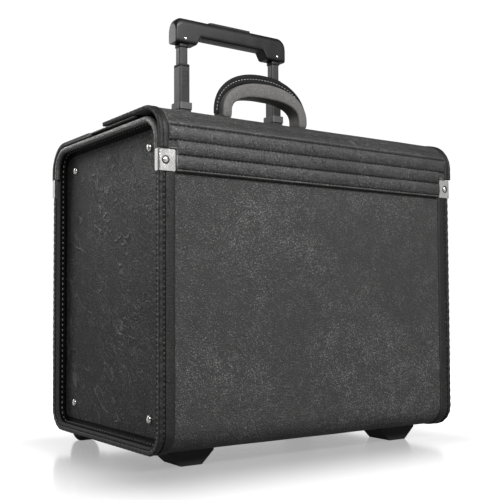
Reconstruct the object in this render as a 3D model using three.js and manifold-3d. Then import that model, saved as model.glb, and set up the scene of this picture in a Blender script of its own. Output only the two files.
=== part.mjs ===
// Pilot rolling flight case: a leather-covered board case with recessed end panels,
// an overlapping top lid, a carry handle, two rear wheels and a two-stage trolley handle.
// Millimetres, +Z up, +X to the right along the front, +Y to the rear, floor at Z = 0.
import * as THREE from "three";
import * as BufferGeometryUtils from "three/addons/utils/BufferGeometryUtils.js";
import Module from "manifold-3d";

const wasm = await Module();
wasm.setup();

// ---- Driving dimensions -------------------------------------------------------------
const CASE_DEPTH = 280; // front face to rear face of the board shell
const BOARD_HALF_WIDTH = 223.2; // half the shell's width, without its edge binding
const BOARD_THICKNESS = 7;
const UNDERSIDE_Z = 19.5; // ground clearance under the shell
const SHELL_TOP_Z = 345.6; // where the shell ends and the lid begins
const BOTTOM_RADIUS = 26;
const FIT_GAP = 0.3; // clearance between pieces that touch
const SEAM_GAP = 0.1; // between a sewn or riveted piece and its backing

const BINDING_WIDTH = 20; // leather binding on the shell's faces
const BINDING_THICKNESS = 1.2;

const PANEL_OUTER_X = 212; // recessed outer face of an end panel
const PANEL_THICKNESS = 3;
const PANEL_FLANGE = 1.8;
const PANEL_TOP_Z = 381.5;
const PANEL_TOP_RADIUS = 26;
const BEAD_WIDTH = 7; // along X
const BEAD_INSIDE = 3.5; // bead below and above the panel's outline
const BEAD_OUTSIDE = 4.5;
const BEAD_OUTER_X = 226;

const BRACKET_HEIGHT = 23.6;
const BRACKET_WIDTH = 20.9;
const BRACKET_WRAP = 8.5; // how far it reaches over the shell's edge
const BRACKET_THICKNESS = 1.2;
const BRACKET_OUTER_X = 226;
const BRACKET_FACE = 2.5; // proud of the shell's face

const LID_CORNER_Y = 109; // centre of the lid's curved front corner, ahead of centre
const LID_CORNER_Z = 361;
const LID_OUTER_RADIUS = 35.5;
const LID_THICKNESS = 4;
const LID_FREE_EDGE_Y = -7.5;
const LID_HALF_WIDTH = 224.5;
const LID_HINGE_Z = 340.2;
const RIB_PITCH = 15.6; // height of one padded rib
const RIB_HALF_LENGTH = 204; // between the corner brackets
const LID_RIB_HALF_LENGTH = 214.5; // above the brackets, up to the lid's end binding
const LID_BINDING_WIDTH = 11;
const RIB_BULGE = 2.5;

const DECK_CORNER_Z = 355; // centre height of the rear deck's curved corner
const DECK_OUTER_RADIUS = 36.6;
const DECK_THICKNESS = 4;
const DECK_FRONT_Y = 31.2;
const TUCK_FLAP_FRONT_Y = -87;
const TUCK_FLAP_REAR_Y = 29.3;

const TROLLEY_X = 78; // centre of each trolley leg from the case's middle
const TROLLEY_Y = 52.5;
const CHANNEL = { wide: 18.6, deep: 21, innerWide: 16.3, innerDeep: 18.4, bottom: 36.3, top: 446 };
const LOWER_TUBE = { wide: 15.6, deep: 17.7, innerWide: 13.5, innerDeep: 12.7, bottom: 123, top: 503 };
const UPPER_TUBE = { wide: 12.8, deep: 12, innerWide: 10.4, innerDeep: 9.6, bottom: 205, top: 550 };
const COLLAR = { wide: 20.4, deep: 24, bottom: 442, top: 451 };
const LOCK_BUTTON_SIZE = 7;
const LOCK_BUTTON_Z = [490, 477];

const GRIP = { halfLength: 93, deep: 21, top: 567, underside: 543, legBottom: 532, legInnerX: 60 };
const GRIP_BUTTON = { length: 70, deep: 9, proud: 2 };
const GRIP_BUTTON_TRAVEL = 4;

const HANDLE_Y = -23;
const HANDLE_PIVOT_X = 62;
const HANDLE_PIVOT_Z = 406;
const HANDLE_DEEP = 24;
const HANDLE_SPRING_Z = 427; // where the straight legs turn into the arch
const PIN_RADIUS = 2.5;
const RUNNING_GAP = 0.1; // radial clearance of a shaft in its hole

const LOCK_X = 132;
const LOCK = { long: 62, deep: 26, bottom: 396.8, top: 405.5, y: -34 };
const DIAL = { radius: 5.5, wide: 5, pitch: 8, z: 402.6 };
const DIAL_OFFSET_X = -8; // the dials sit beside the slider

const WHEEL = { radius: 25, x: 182.5, y: 128, wide: 24, hubRadius: 17, axleRadius: 3 };
const HOUSING = { halfWidth: 16.5, wall: 2.4, lip: 5, front: 96, top: 60 };

const FOOT = { front: -104, rear: -66, bottomIn: 147.5, bottomOut: 175, topIn: 131.5, topOut: 192 };

const HALF_DEPTH = CASE_DEPTH / 2;
const FRONT_FACE_Y = -HALF_DEPTH;
const RIB_FACE_Y = -(LID_CORNER_Y + LID_OUTER_RADIUS);
const FRONTMOST_Y = RIB_FACE_Y - SEAM_GAP - RIB_BULGE;
const REARMOST_Y = WHEEL.y + WHEEL.radius;
const SIDES = { left: -1, right: 1 };

// ---- Materials ----------------------------------------------------------------------
function material(color, roughness, metalness) {
  return new THREE.MeshStandardMaterial({ color, roughness, metalness });
}

const blackLeather = () => material(0x2b2b2d, 0.55, 0);
const bindingLeather = () => material(0x363638, 0.5, 0);
const nickel = () => material(0xc9cacc, 0.25, 1);
const darkAluminium = () => material(0x55565a, 0.4, 0.9);
const blackPlastic = () => material(0x1c1c1e, 0.5, 0);
const rubber = () => material(0x161617, 0.8, 0);
const steel = () => material(0x8d8f93, 0.35, 1);
const liningBoard = () => material(0x3a3a3c, 0.9, 0);

// ---- Solid helpers ------------------------------------------------------------------
function toManifold(geometry) {
  const plain = geometry.clone();
  plain.deleteAttribute("normal");
  plain.deleteAttribute("uv");
  const merged = BufferGeometryUtils.mergeVertices(plain, 1e-4);
  const vertProperties = new Float32Array(merged.attributes.position.array);
  const triVerts = new Uint32Array(merged.index.array);
  return new wasm.Manifold(new wasm.Mesh({ numProp: 3, vertProperties, triVerts }));
}

function toGeometry(manifold) {
  const mesh = manifold.getMesh();
  const geometry = new THREE.BufferGeometry();
  geometry.setAttribute("position", new THREE.BufferAttribute(new Float32Array(mesh.vertProperties), 3));
  geometry.setIndex(new THREE.BufferAttribute(new Uint32Array(mesh.triVerts), 1));
  geometry.computeVertexNormals();
  return geometry;
}

function join(...geometries) {
  return toGeometry(geometries.map(toManifold).reduce((sum, solid) => sum.add(solid)));
}

function cut(geometry, ...tools) {
  return toGeometry(tools.map(toManifold).reduce((rest, tool) => rest.subtract(tool), toManifold(geometry)));
}

function common(first, second) {
  return toGeometry(toManifold(first).intersect(toManifold(second)));
}

function block(x0, x1, y0, y1, z0, z1) {
  const geometry = new THREE.BoxGeometry(Math.abs(x1 - x0), Math.abs(y1 - y0), Math.abs(z1 - z0));
  return geometry.translate((x0 + x1) / 2, (y0 + y1) / 2, (z0 + z1) / 2);
}

function extrude(shape, length, curveSegments) {
  return new THREE.ExtrudeGeometry(shape, { depth: length, bevelEnabled: false, curveSegments });
}

// A shape drawn as (y, z) and carried along X.
function alongX(shape, x0, x1, curveSegments = 10) {
  const turn = new THREE.Matrix4().makeBasis(
    new THREE.Vector3(0, 1, 0),
    new THREE.Vector3(0, 0, 1),
    new THREE.Vector3(1, 0, 0),
  );
  const start = Math.min(x0, x1);
  return extrude(shape, Math.abs(x1 - x0), curveSegments).applyMatrix4(turn).translate(start, 0, 0);
}

// A shape drawn as (x, z) and carried along Y.
function alongY(shape, y0, y1, curveSegments = 10) {
  return extrude(shape, y1 - y0, curveSegments).rotateX(Math.PI / 2).translate(0, y1, 0);
}

// A shape drawn as (x, y) and carried along Z.
function alongZ(shape, z0, z1, curveSegments = 6) {
  return extrude(shape, z1 - z0, curveSegments).translate(0, 0, z0);
}

function rodAlongX(radius, x0, x1, y, z, segments = 32) {
  const rod = new THREE.CylinderGeometry(radius, radius, Math.abs(x1 - x0), segments);
  return rod.rotateZ(Math.PI / 2).translate((x0 + x1) / 2, y, z);
}

function roundedRectangle(width, height, radius, centreX = 0, centreY = 0) {
  const right = centreX + width / 2;
  const left = centreX - width / 2;
  const top = centreY + height / 2;
  const bottom = centreY - height / 2;
  const shape = new THREE.Shape();
  shape.moveTo(left + radius, bottom);
  shape.lineTo(right - radius, bottom);
  shape.absarc(right - radius, bottom + radius, radius, -Math.PI / 2, 0, false);
  shape.lineTo(right, top - radius);
  shape.absarc(right - radius, top - radius, radius, 0, Math.PI / 2, false);
  shape.lineTo(left + radius, top);
  shape.absarc(left + radius, top - radius, radius, Math.PI / 2, Math.PI, false);
  shape.lineTo(left, bottom + radius);
  shape.absarc(left + radius, bottom + radius, radius, Math.PI, 1.5 * Math.PI, false);
  return shape;
}

// A domed rivet standing on the plane z = 0, with its shank below.
function rivet(headRadius, headHeight, shankRadius, shankLength) {
  const profile = [new THREE.Vector2(0, -shankLength), new THREE.Vector2(shankRadius, -shankLength)];
  profile.push(new THREE.Vector2(shankRadius, 0), new THREE.Vector2(headRadius, 0));
  const steps = 5;
  for (let step = 1; step < steps; step += 1) {
    const angle = (step / steps) * (Math.PI / 2);
    profile.push(new THREE.Vector2(headRadius * Math.cos(angle), headHeight * Math.sin(angle)));
  }
  profile.push(new THREE.Vector2(0, headHeight));
  return new THREE.LatheGeometry(profile, 20).rotateX(Math.PI / 2);
}

const assembly = new THREE.Group();

function add(name, geometry, finish) {
  const mesh = new THREE.Mesh(geometry, finish);
  mesh.name = name;
  assembly.add(mesh);
}

// ---- Outlines in the (y, z) plane ---------------------------------------------------
// The shell's U, between two offsets measured outwards from its outer face.
function shellRing(outer, inner, topZ) {
  const corner = HALF_DEPTH - BOTTOM_RADIUS;
  const cornerZ = UNDERSIDE_Z + BOTTOM_RADIUS;
  const wide = HALF_DEPTH + outer;
  const narrow = HALF_DEPTH + inner;
  const shape = new THREE.Shape();
  shape.moveTo(-wide, topZ);
  shape.lineTo(-wide, cornerZ);
  shape.absarc(-corner, cornerZ, BOTTOM_RADIUS + outer, Math.PI, 1.5 * Math.PI, false);
  shape.lineTo(corner, UNDERSIDE_Z - outer);
  shape.absarc(corner, cornerZ, BOTTOM_RADIUS + outer, -Math.PI / 2, 0, false);
  shape.lineTo(wide, topZ);
  shape.lineTo(narrow, topZ);
  shape.lineTo(narrow, cornerZ);
  shape.absarc(corner, cornerZ, BOTTOM_RADIUS + inner, 0, -Math.PI / 2, true);
  shape.lineTo(-corner, UNDERSIDE_Z - inner);
  shape.absarc(-corner, cornerZ, BOTTOM_RADIUS + inner, -Math.PI / 2, -Math.PI, true);
  shape.lineTo(-narrow, topZ);
  return shape;
}

// The end panel's closed outline, offset outwards.
function panelOutline(offset, Kind = THREE.Shape) {
  const side = HALF_DEPTH - BOARD_THICKNESS - FIT_GAP + offset;
  const bottom = UNDERSIDE_Z + BOARD_THICKNESS + FIT_GAP - offset;
  const top = PANEL_TOP_Z + offset;
  const low = BOTTOM_RADIUS - BOARD_THICKNESS - FIT_GAP + offset;
  const high = PANEL_TOP_RADIUS + offset;
  const shape = new Kind();
  shape.moveTo(-side + low, bottom);
  shape.lineTo(side - low, bottom);
  shape.absarc(side - low, bottom + low, low, -Math.PI / 2, 0, false);
  shape.lineTo(side, top - high);
  shape.absarc(side - high, top - high, high, 0, Math.PI / 2, false);
  shape.lineTo(-side + high, top);
  shape.absarc(-side + high, top - high, high, Math.PI / 2, Math.PI, false);
  shape.lineTo(-side, bottom + low);
  shape.absarc(-side + low, bottom + low, low, Math.PI, 1.5 * Math.PI, false);
  return shape;
}

function panelRing(outer, inner) {
  const shape = panelOutline(outer);
  shape.holes.push(panelOutline(inner, THREE.Path));
  return shape;
}

// The lid from its lower front edge round the corner to its free edge, at two radii.
function lidSection(outerRadius, innerRadius, bottomZ, freeEdgeY) {
  const shape = new THREE.Shape();
  shape.moveTo(-LID_CORNER_Y - outerRadius, bottomZ);
  shape.lineTo(-LID_CORNER_Y - innerRadius, bottomZ);
  shape.lineTo(-LID_CORNER_Y - innerRadius, LID_CORNER_Z);
  shape.absarc(-LID_CORNER_Y, LID_CORNER_Z, innerRadius, Math.PI, Math.PI / 2, true);
  shape.lineTo(freeEdgeY, LID_CORNER_Z + innerRadius);
  shape.lineTo(freeEdgeY, LID_CORNER_Z + outerRadius);
  shape.lineTo(-LID_CORNER_Y, LID_CORNER_Z + outerRadius);
  shape.absarc(-LID_CORNER_Y, LID_CORNER_Z, outerRadius, Math.PI / 2, Math.PI, false);
  return shape;
}

// One padded rib: a shallow bow on the face at y, between two seams.
function ribSection(y, lowZ, highZ) {
  const seam = FIT_GAP;
  const shape = new THREE.Shape();
  shape.moveTo(y, highZ - seam);
  shape.quadraticCurveTo(y - 2 * RIB_BULGE, (lowZ + highZ) / 2, y, lowZ + seam);
  return shape;
}

// ---- Shell, end panels and trim -----------------------------------------------------
function wheelNotch(side) {
  const inner = side * (WHEEL.x - HOUSING.halfWidth - FIT_GAP);
  const outer = side * (WHEEL.x + HOUSING.halfWidth + FIT_GAP);
  return block(inner, outer, HOUSING.front - FIT_GAP, 2 * HALF_DEPTH, -1, HOUSING.top + FIT_GAP);
}

function shellBand() {
  const board = alongX(shellRing(0, -BOARD_THICKNESS, SHELL_TOP_Z), -BOARD_HALF_WIDTH, BOARD_HALF_WIDTH);
  return cut(board, wheelNotch(SIDES.left), wheelNotch(SIDES.right));
}

function edgeBinding(side) {
  const edgeX = side * (BOARD_HALF_WIDTH + FIT_GAP);
  const outerX = edgeX + side * BINDING_THICKNESS;
  const faceOffset = FIT_GAP + BINDING_THICKNESS;
  const strip = alongX(shellRing(faceOffset, FIT_GAP, SHELL_TOP_Z), outerX - side * BINDING_WIDTH, outerX);
  const edge = alongX(shellRing(faceOffset, -BOARD_THICKNESS, SHELL_TOP_Z), edgeX, outerX);
  const flat = BRACKET_HEIGHT + FIT_GAP;
  const cuts = [-1, 1].map((end) => bracketSeat(side, end, flat));
  return cut(join(strip, edge), ...cuts);
}

// The space at a top corner where the binding makes room for a bracket.
function bracketSeat(side, end, height) {
  const inX = side * (BRACKET_OUTER_X - BRACKET_WIDTH - FIT_GAP);
  const nearY = end * (HALF_DEPTH - BOARD_THICKNESS - 1);
  const bottomZ = SHELL_TOP_Z - height;
  return block(inX, side * (BRACKET_OUTER_X + 1), nearY, end * (HALF_DEPTH + 5), bottomZ, SHELL_TOP_Z + 1);
}

const PANEL_RIVET_Y = 98;
const PANEL_RIVET_Z = [54, 354];
const RIVET_SHANK = 1.9;
const STAY_WIDTH = 14;
const STAY_THICKNESS = 1.5;

function panelRivetPlaces() {
  return PANEL_RIVET_Z.flatMap((z) => [-PANEL_RIVET_Y, PANEL_RIVET_Y].map((y) => ({ y, z })));
}

function endPanel(side) {
  const outerX = side * PANEL_OUTER_X;
  const innerX = outerX - side * PANEL_THICKNESS;
  const flangeX = side * (BEAD_OUTER_X - BEAD_WIDTH - FIT_GAP);
  const plate = alongX(panelOutline(0), innerX, outerX);
  const flange = alongX(panelRing(0, -PANEL_FLANGE), outerX, flangeX);
  const holes = panelRivetPlaces().map(({ y, z }) => {
    return rodAlongX(RIVET_SHANK + FIT_GAP, innerX - side, outerX + side, y, z, 20);
  });
  return cut(join(plate, flange), ...holes);
}

function rimBead(side) {
  const outerX = side * BEAD_OUTER_X;
  const ring = alongX(panelRing(BEAD_OUTSIDE, -BEAD_INSIDE), outerX - side * BEAD_WIDTH, outerX);
  const below = SHELL_TOP_Z + FIT_GAP;
  return cut(ring, block(-CASE_DEPTH, CASE_DEPTH, -CASE_DEPTH, CASE_DEPTH, -1, below));
}

// A flat steel frame behind an end panel, with the four domed rivets that clamp the panel to it.
function endPanelStay(side) {
  const outerX = side * (PANEL_OUTER_X - PANEL_THICKNESS - FIT_GAP);
  const innerX = outerX - side * STAY_THICKNESS;
  const middleZ = (PANEL_RIVET_Z[0] + PANEL_RIVET_Z[1]) / 2;
  const high = PANEL_RIVET_Z[1] - PANEL_RIVET_Z[0];
  const wide = 2 * PANEL_RIVET_Y;
  const frame = roundedRectangle(wide + STAY_WIDTH, high + STAY_WIDTH, STAY_WIDTH / 2, 0, middleZ);
  const window = roundedRectangle(wide - STAY_WIDTH, high - STAY_WIDTH, 2, 0, middleZ);
  const strip = cut(alongX(frame, innerX, outerX, 6), alongX(window, innerX - side, outerX + side, 3));
  const rivets = panelRivetPlaces().map(({ y, z }) => {
    const one = rivet(4, 2.2, RIVET_SHANK, PANEL_THICKNESS + 1);
    return one.rotateY(side * Math.PI / 2).translate(side * (PANEL_OUTER_X + SEAM_GAP), y, z);
  });
  return join(strip, ...rivets);
}

const BRACKET_RIVET_X = 217.5;
const BRACKET_MIDDLE_Z = SHELL_TOP_Z - BRACKET_HEIGHT / 2;

// The plate with its peened rivet. end is -1 on the front face and +1 on the rear face.
function cornerBracket(side, end) {
  const outerX = side * BRACKET_OUTER_X;
  const innerX = side * (BRACKET_OUTER_X - BRACKET_WIDTH);
  const faceY = end * (HALF_DEPTH + BRACKET_FACE);
  const backY = faceY - end * BRACKET_THICKNESS;
  const bottomZ = SHELL_TOP_Z - BRACKET_HEIGHT;
  const plate = block(innerX, outerX, backY, faceY, bottomZ, SHELL_TOP_Z);
  const wrapY = faceY - end * BRACKET_WRAP;
  const wrap = block(outerX - side * BRACKET_THICKNESS, outerX, wrapY, faceY, bottomZ, SHELL_TOP_Z);
  const head = rivet(4.2, 1.6, RIVET_SHANK, BRACKET_THICKNESS / 2);
  head.rotateX(-end * Math.PI / 2).translate(side * BRACKET_RIVET_X, faceY, BRACKET_MIDDLE_Z);
  return join(plate, wrap, head);
}

function floorBoard() {
  const bottom = UNDERSIDE_Z + BOARD_THICKNESS + FIT_GAP;
  const halfDeep = HALF_DEPTH - BOTTOM_RADIUS - 1;
  const halfWide = PANEL_OUTER_X - PANEL_THICKNESS - FIT_GAP;
  const board = block(-halfWide, halfWide, -halfDeep, halfDeep, bottom, bottom + 3);
  return cut(board, wheelNotch(SIDES.left), wheelNotch(SIDES.right));
}

// ---- Rear deck and tuck flap --------------------------------------------------------
function rearDeckSection() {
  const inner = DECK_OUTER_RADIUS - DECK_THICKNESS;
  const bottomZ = SHELL_TOP_Z + 2 * FIT_GAP;
  const shape = new THREE.Shape();
  shape.moveTo(DECK_FRONT_Y, DECK_CORNER_Z + inner);
  shape.lineTo(LID_CORNER_Y, DECK_CORNER_Z + inner);
  shape.absarc(LID_CORNER_Y, DECK_CORNER_Z, inner, Math.PI / 2, 0, true);
  shape.lineTo(LID_CORNER_Y + inner, bottomZ);
  shape.lineTo(LID_CORNER_Y + DECK_OUTER_RADIUS, bottomZ);
  shape.lineTo(LID_CORNER_Y + DECK_OUTER_RADIUS, DECK_CORNER_Z);
  shape.absarc(LID_CORNER_Y, DECK_CORNER_Z, DECK_OUTER_RADIUS, 0, Math.PI / 2, false);
  shape.lineTo(DECK_FRONT_Y, DECK_CORNER_Z + DECK_OUTER_RADIUS);
  return shape;
}

function trolleyOpening(side, wide, deep, bottomZ, topZ) {
  const halfWide = wide / 2;
  const halfDeep = deep / 2;
  const x = side * TROLLEY_X;
  return block(x - halfWide, x + halfWide, TROLLEY_Y - halfDeep, TROLLEY_Y + halfDeep, bottomZ, topZ);
}

function rearDeck() {
  const deck = alongX(rearDeckSection(), -LID_HALF_WIDTH, LID_HALF_WIDTH);
  const hemFrontY = HALF_DEPTH + FIT_GAP;
  const hemRearY = LID_CORNER_Y + DECK_OUTER_RADIUS;
  const hemBottomZ = SHELL_TOP_Z - BRACKET_HEIGHT;
  const hem = block(-RIB_HALF_LENGTH, RIB_HALF_LENGTH, hemFrontY, hemRearY, hemBottomZ, SHELL_TOP_Z + 1);
  const wide = CHANNEL.wide + 2 * FIT_GAP;
  const deep = CHANNEL.deep + 2 * FIT_GAP;
  const holes = Object.values(SIDES).map((side) => trolleyOpening(side, wide, deep, 380, 400));
  return cut(join(deck, hem), ...holes);
}

function tuckFlap() {
  const topZ = DECK_CORNER_Z + DECK_OUTER_RADIUS;
  const bottomZ = topZ - DECK_THICKNESS;
  const length = TUCK_FLAP_REAR_Y - TUCK_FLAP_FRONT_Y;
  const middle = (TUCK_FLAP_REAR_Y + TUCK_FLAP_FRONT_Y) / 2;
  const section = roundedRectangle(length, DECK_THICKNESS, DECK_THICKNESS / 2 - 0.1, middle, (topZ + bottomZ) / 2);
  return alongX(section, -LID_HALF_WIDTH, LID_HALF_WIDTH, 4);
}

// ---- Front lid and its ribs ---------------------------------------------------------
function belowEndBinding(side) {
  const innerX = side * (RIB_HALF_LENGTH + FIT_GAP);
  const rear = -HALF_DEPTH + 2;
  return block(innerX, side * (BEAD_OUTER_X + 5), -CASE_DEPTH, rear, 0, SHELL_TOP_Z + 3 * FIT_GAP);
}

function frontLid() {
  const inner = LID_OUTER_RADIUS - LID_THICKNESS;
  const section = lidSection(LID_OUTER_RADIUS, inner, LID_HINGE_Z + FIT_GAP, LID_FREE_EDGE_Y);
  const lid = alongX(section, -LID_HALF_WIDTH, LID_HALF_WIDTH, 14);
  return cut(lid, belowEndBinding(SIDES.left), belowEndBinding(SIDES.right));
}

function lidBinding(side) {
  const outer = LID_OUTER_RADIUS + FIT_GAP + BINDING_THICKNESS;
  const bottomZ = SHELL_TOP_Z + 3 * FIT_GAP;
  const edgeX = side * (LID_HALF_WIDTH + FIT_GAP);
  const outerX = side * BEAD_OUTER_X;
  const innerX = outerX - side * LID_BINDING_WIDTH;
  const freeEdgeY = LID_FREE_EDGE_Y;
  const strip = alongX(lidSection(outer, LID_OUTER_RADIUS + FIT_GAP, bottomZ, freeEdgeY), innerX, outerX, 14);
  const inner = LID_OUTER_RADIUS - LID_THICKNESS;
  const edge = alongX(lidSection(outer, inner, bottomZ, freeEdgeY), edgeX, outerX, 14);
  return join(strip, edge);
}

// Two ribs on one backing, which is sewn to the lid's front.
function lidRibs() {
  const backY = RIB_FACE_Y - SEAM_GAP;
  const ends = [-LID_RIB_HALF_LENGTH, LID_RIB_HALF_LENGTH];
  const ribs = [LID_HINGE_Z, LID_HINGE_Z + RIB_PITCH].map((lowZ) => {
    return alongX(ribSection(backY, lowZ, lowZ + RIB_PITCH), ...ends, 6);
  });
  const lowZ = LID_HINGE_Z + FIT_GAP;
  const highZ = LID_HINGE_Z + 2 * RIB_PITCH - FIT_GAP;
  const backing = block(...ends, backY - 0.5, backY, lowZ, highZ);
  return cut(join(backing, ...ribs), belowEndBinding(SIDES.left), belowEndBinding(SIDES.right));
}

function frontRibStrip() {
  const topZ = LID_HINGE_Z - FIT_GAP;
  const bottomZ = topZ - RIB_PITCH - 2;
  const frontY = FRONT_FACE_Y - FIT_GAP;
  const base = block(-RIB_HALF_LENGTH, RIB_HALF_LENGTH, RIB_FACE_Y, frontY, bottomZ, topZ);
  const section = ribSection(RIB_FACE_Y, topZ - RIB_PITCH, topZ);
  return join(base, alongX(section, -RIB_HALF_LENGTH, RIB_HALF_LENGTH, 6));
}

// ---- Carry handle -------------------------------------------------------------------
// Half of a flattened arch, as points from the right springing to the left one.
function archPoints(halfWidth, topZ, springZ, fullness, steps = 20) {
  const points = [];
  for (let step = 0; step <= steps; step += 1) {
    const angle = (step / steps) * Math.PI;
    const across = Math.cos(angle);
    const up = Math.sin(angle);
    const x = Math.sign(across) * halfWidth * Math.abs(across) ** (2 / fullness);
    points.push(new THREE.Vector2(x, springZ + (topZ - springZ) * Math.abs(up) ** (2 / fullness)));
  }
  return points;
}

function archShape(outer, inner, legBottomZ) {
  const outside = archPoints(outer.halfWidth, outer.top, HANDLE_SPRING_Z, outer.fullness);
  const inside = archPoints(inner.halfWidth, inner.top, HANDLE_SPRING_Z, inner.fullness).reverse();
  const rightFoot = new THREE.Vector2(outer.halfWidth, legBottomZ);
  const leftFoot = new THREE.Vector2(-outer.halfWidth, legBottomZ);
  const leftInner = new THREE.Vector2(-inner.halfWidth, legBottomZ);
  const rightInner = new THREE.Vector2(inner.halfWidth, legBottomZ);
  return new THREE.Shape([rightFoot, ...outside, leftFoot, leftInner, ...inside, rightInner]);
}

function carryHandle() {
  const inner = { halfWidth: 54.5, top: 449.5, fullness: 2.5 };
  const padded = archShape({ halfWidth: 69.5, top: 470, fullness: 2.2 }, inner, HANDLE_PIVOT_Z + 12);
  const welted = archShape({ halfWidth: 76, top: 484, fullness: 2.2 }, { ...inner, halfWidth: 58 }, 424);
  const body = alongY(padded, HANDLE_Y - HANDLE_DEEP / 2, HANDLE_Y + HANDLE_DEEP / 2);
  const welt = alongY(welted, HANDLE_Y - 2, HANDLE_Y + 2);
  const tabRadius = 6.5;
  const tabs = Object.values(SIDES).map((side) => {
    const inX = side * 55.5;
    const outX = side * 68.5;
    const round = rodAlongX(tabRadius, inX, outX, HANDLE_Y, HANDLE_PIVOT_Z, 24);
    const neck = block(inX, outX, HANDLE_Y - tabRadius, HANDLE_Y + tabRadius, HANDLE_PIVOT_Z, HANDLE_PIVOT_Z + 13);
    return join(round, neck);
  });
  const holes = Object.values(SIDES).map((side) => {
    return rodAlongX(PIN_RADIUS + RUNNING_GAP, side * 50, side * 74, HANDLE_Y, HANDLE_PIVOT_Z);
  });
  return cut(join(body, welt, ...tabs), ...holes);
}

const MOUNT_EAR_X = [50.5, 71.3];
const MOUNT_EAR_THICKNESS = 2.2;
const MOUNT_BOTTOM_Z = LID_CORNER_Z + LID_OUTER_RADIUS + FIT_GAP;

function handleMount(side) {
  const plateShape = roundedRectangle(36, 26, 4, side * HANDLE_PIVOT_X, HANDLE_Y);
  const plate = alongZ(plateShape, MOUNT_BOTTOM_Z, MOUNT_BOTTOM_Z + 1.5);
  const ears = MOUNT_EAR_X.map((earX) => {
    const x0 = side * earX;
    const x1 = side * (earX + MOUNT_EAR_THICKNESS);
    const foot = block(x0, x1, HANDLE_Y - 6, HANDLE_Y + 6, MOUNT_BOTTOM_Z, HANDLE_PIVOT_Z);
    return join(foot, rodAlongX(6, x0, x1, HANDLE_Y, HANDLE_PIVOT_Z, 24));
  });
  const hole = rodAlongX(PIN_RADIUS + RUNNING_GAP, side * 48, side * 76, HANDLE_Y, HANDLE_PIVOT_Z);
  return cut(join(plate, ...ears), hole);
}

function handlePin(side) {
  return rodAlongX(PIN_RADIUS, side * 50, side * 74, HANDLE_Y, HANDLE_PIVOT_Z);
}

// ---- Combination locks on the lid ---------------------------------------------------
const DIAL_INDEXES = [0, 1, 2];
const SLIDER = { x: 20, long: 12, deep: 9, slot: 19, bottom: 402 };

function dialX(side, index) {
  return side * (LOCK_X + DIAL_OFFSET_X + (index - 1) * DIAL.pitch);
}

function lockBody(side) {
  const outline = roundedRectangle(LOCK.long, LOCK.deep, 4, side * LOCK_X, LOCK.y);
  const body = alongZ(outline, LOCK.bottom, LOCK.top);
  const slots = DIAL_INDEXES.map((index) => {
    const x = dialX(side, index);
    const half = DIAL.wide / 2 + FIT_GAP;
    const reach = DIAL.radius + 0.5;
    return block(x - half, x + half, LOCK.y - reach, LOCK.y + reach, LOCK.bottom - 1, LOCK.top + 1);
  });
  const slotMiddleX = side * (LOCK_X + SLIDER.x);
  const halfSlot = SLIDER.slot / 2;
  const slotDeep = SLIDER.deep / 2 + FIT_GAP;
  const slotX = [slotMiddleX - halfSlot, slotMiddleX + halfSlot];
  const track = block(...slotX, LOCK.y - slotDeep, LOCK.y + slotDeep, SLIDER.bottom - FIT_GAP, LOCK.top + 1);
  const axle = rodAlongX(1.2, dialX(side, 0) - side * 5, dialX(side, 2) + side * 5, LOCK.y, DIAL.z, 12);
  return join(cut(body, ...slots, track), axle);
}

function lockDial(side, index) {
  const x = dialX(side, index);
  const half = DIAL.wide / 2;
  const wheel = rodAlongX(DIAL.radius, x - half, x + half, LOCK.y, DIAL.z, 20);
  return cut(wheel, rodAlongX(1.5, x - DIAL.wide, x + DIAL.wide, LOCK.y, DIAL.z, 12));
}

function lockSlider(side) {
  const nearX = side * (LOCK_X + SLIDER.x - SLIDER.slot / 2 + FIT_GAP);
  const farX = nearX + side * SLIDER.long;
  const halfDeep = SLIDER.deep / 2;
  const plate = block(nearX, farX, LOCK.y - halfDeep, LOCK.y + halfDeep, SLIDER.bottom, LOCK.top);
  const knobX = [nearX + side * 2, farX - side * 2];
  return join(plate, block(...knobX, LOCK.y - 3.5, LOCK.y + 3.5, SLIDER.bottom, LOCK.top + 2));
}

// ---- Trolley ------------------------------------------------------------------------
function squareTube(side, size) {
  const outer = roundedRectangle(size.wide, size.deep, 2, side * TROLLEY_X, TROLLEY_Y);
  const bore = trolleyOpening(side, size.innerWide, size.innerDeep, size.bottom - 1, size.top + 1);
  return cut(alongZ(outer, size.bottom, size.top, 3), bore);
}

function trolleyBase() {
  const bottom = UNDERSIDE_Z + BOARD_THICKNESS + 2 * FIT_GAP + 3;
  const bar = alongZ(roundedRectangle(192, 30, 4, 0, TROLLEY_Y), bottom, 46);
  const wide = CHANNEL.wide + 2 * FIT_GAP;
  const deep = CHANNEL.deep + 2 * FIT_GAP;
  const floorZ = CHANNEL.bottom - FIT_GAP;
  const sockets = Object.values(SIDES).map((side) => trolleyOpening(side, wide, deep, floorZ, 60));
  return cut(bar, ...sockets);
}

function trolleyCollar(side) {
  const outline = roundedRectangle(COLLAR.wide, COLLAR.deep, 3, side * TROLLEY_X, TROLLEY_Y);
  const wide = CHANNEL.wide + 2 * FIT_GAP;
  const deep = CHANNEL.deep + 2 * FIT_GAP;
  const skirt = trolleyOpening(side, wide, deep, COLLAR.bottom - 1, CHANNEL.top + FIT_GAP);
  const bore = trolleyOpening(side, CHANNEL.innerWide, CHANNEL.innerDeep, COLLAR.bottom - 1, COLLAR.top + 1);
  return cut(alongZ(outline, COLLAR.bottom, COLLAR.top, 3), skirt, bore);
}

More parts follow.
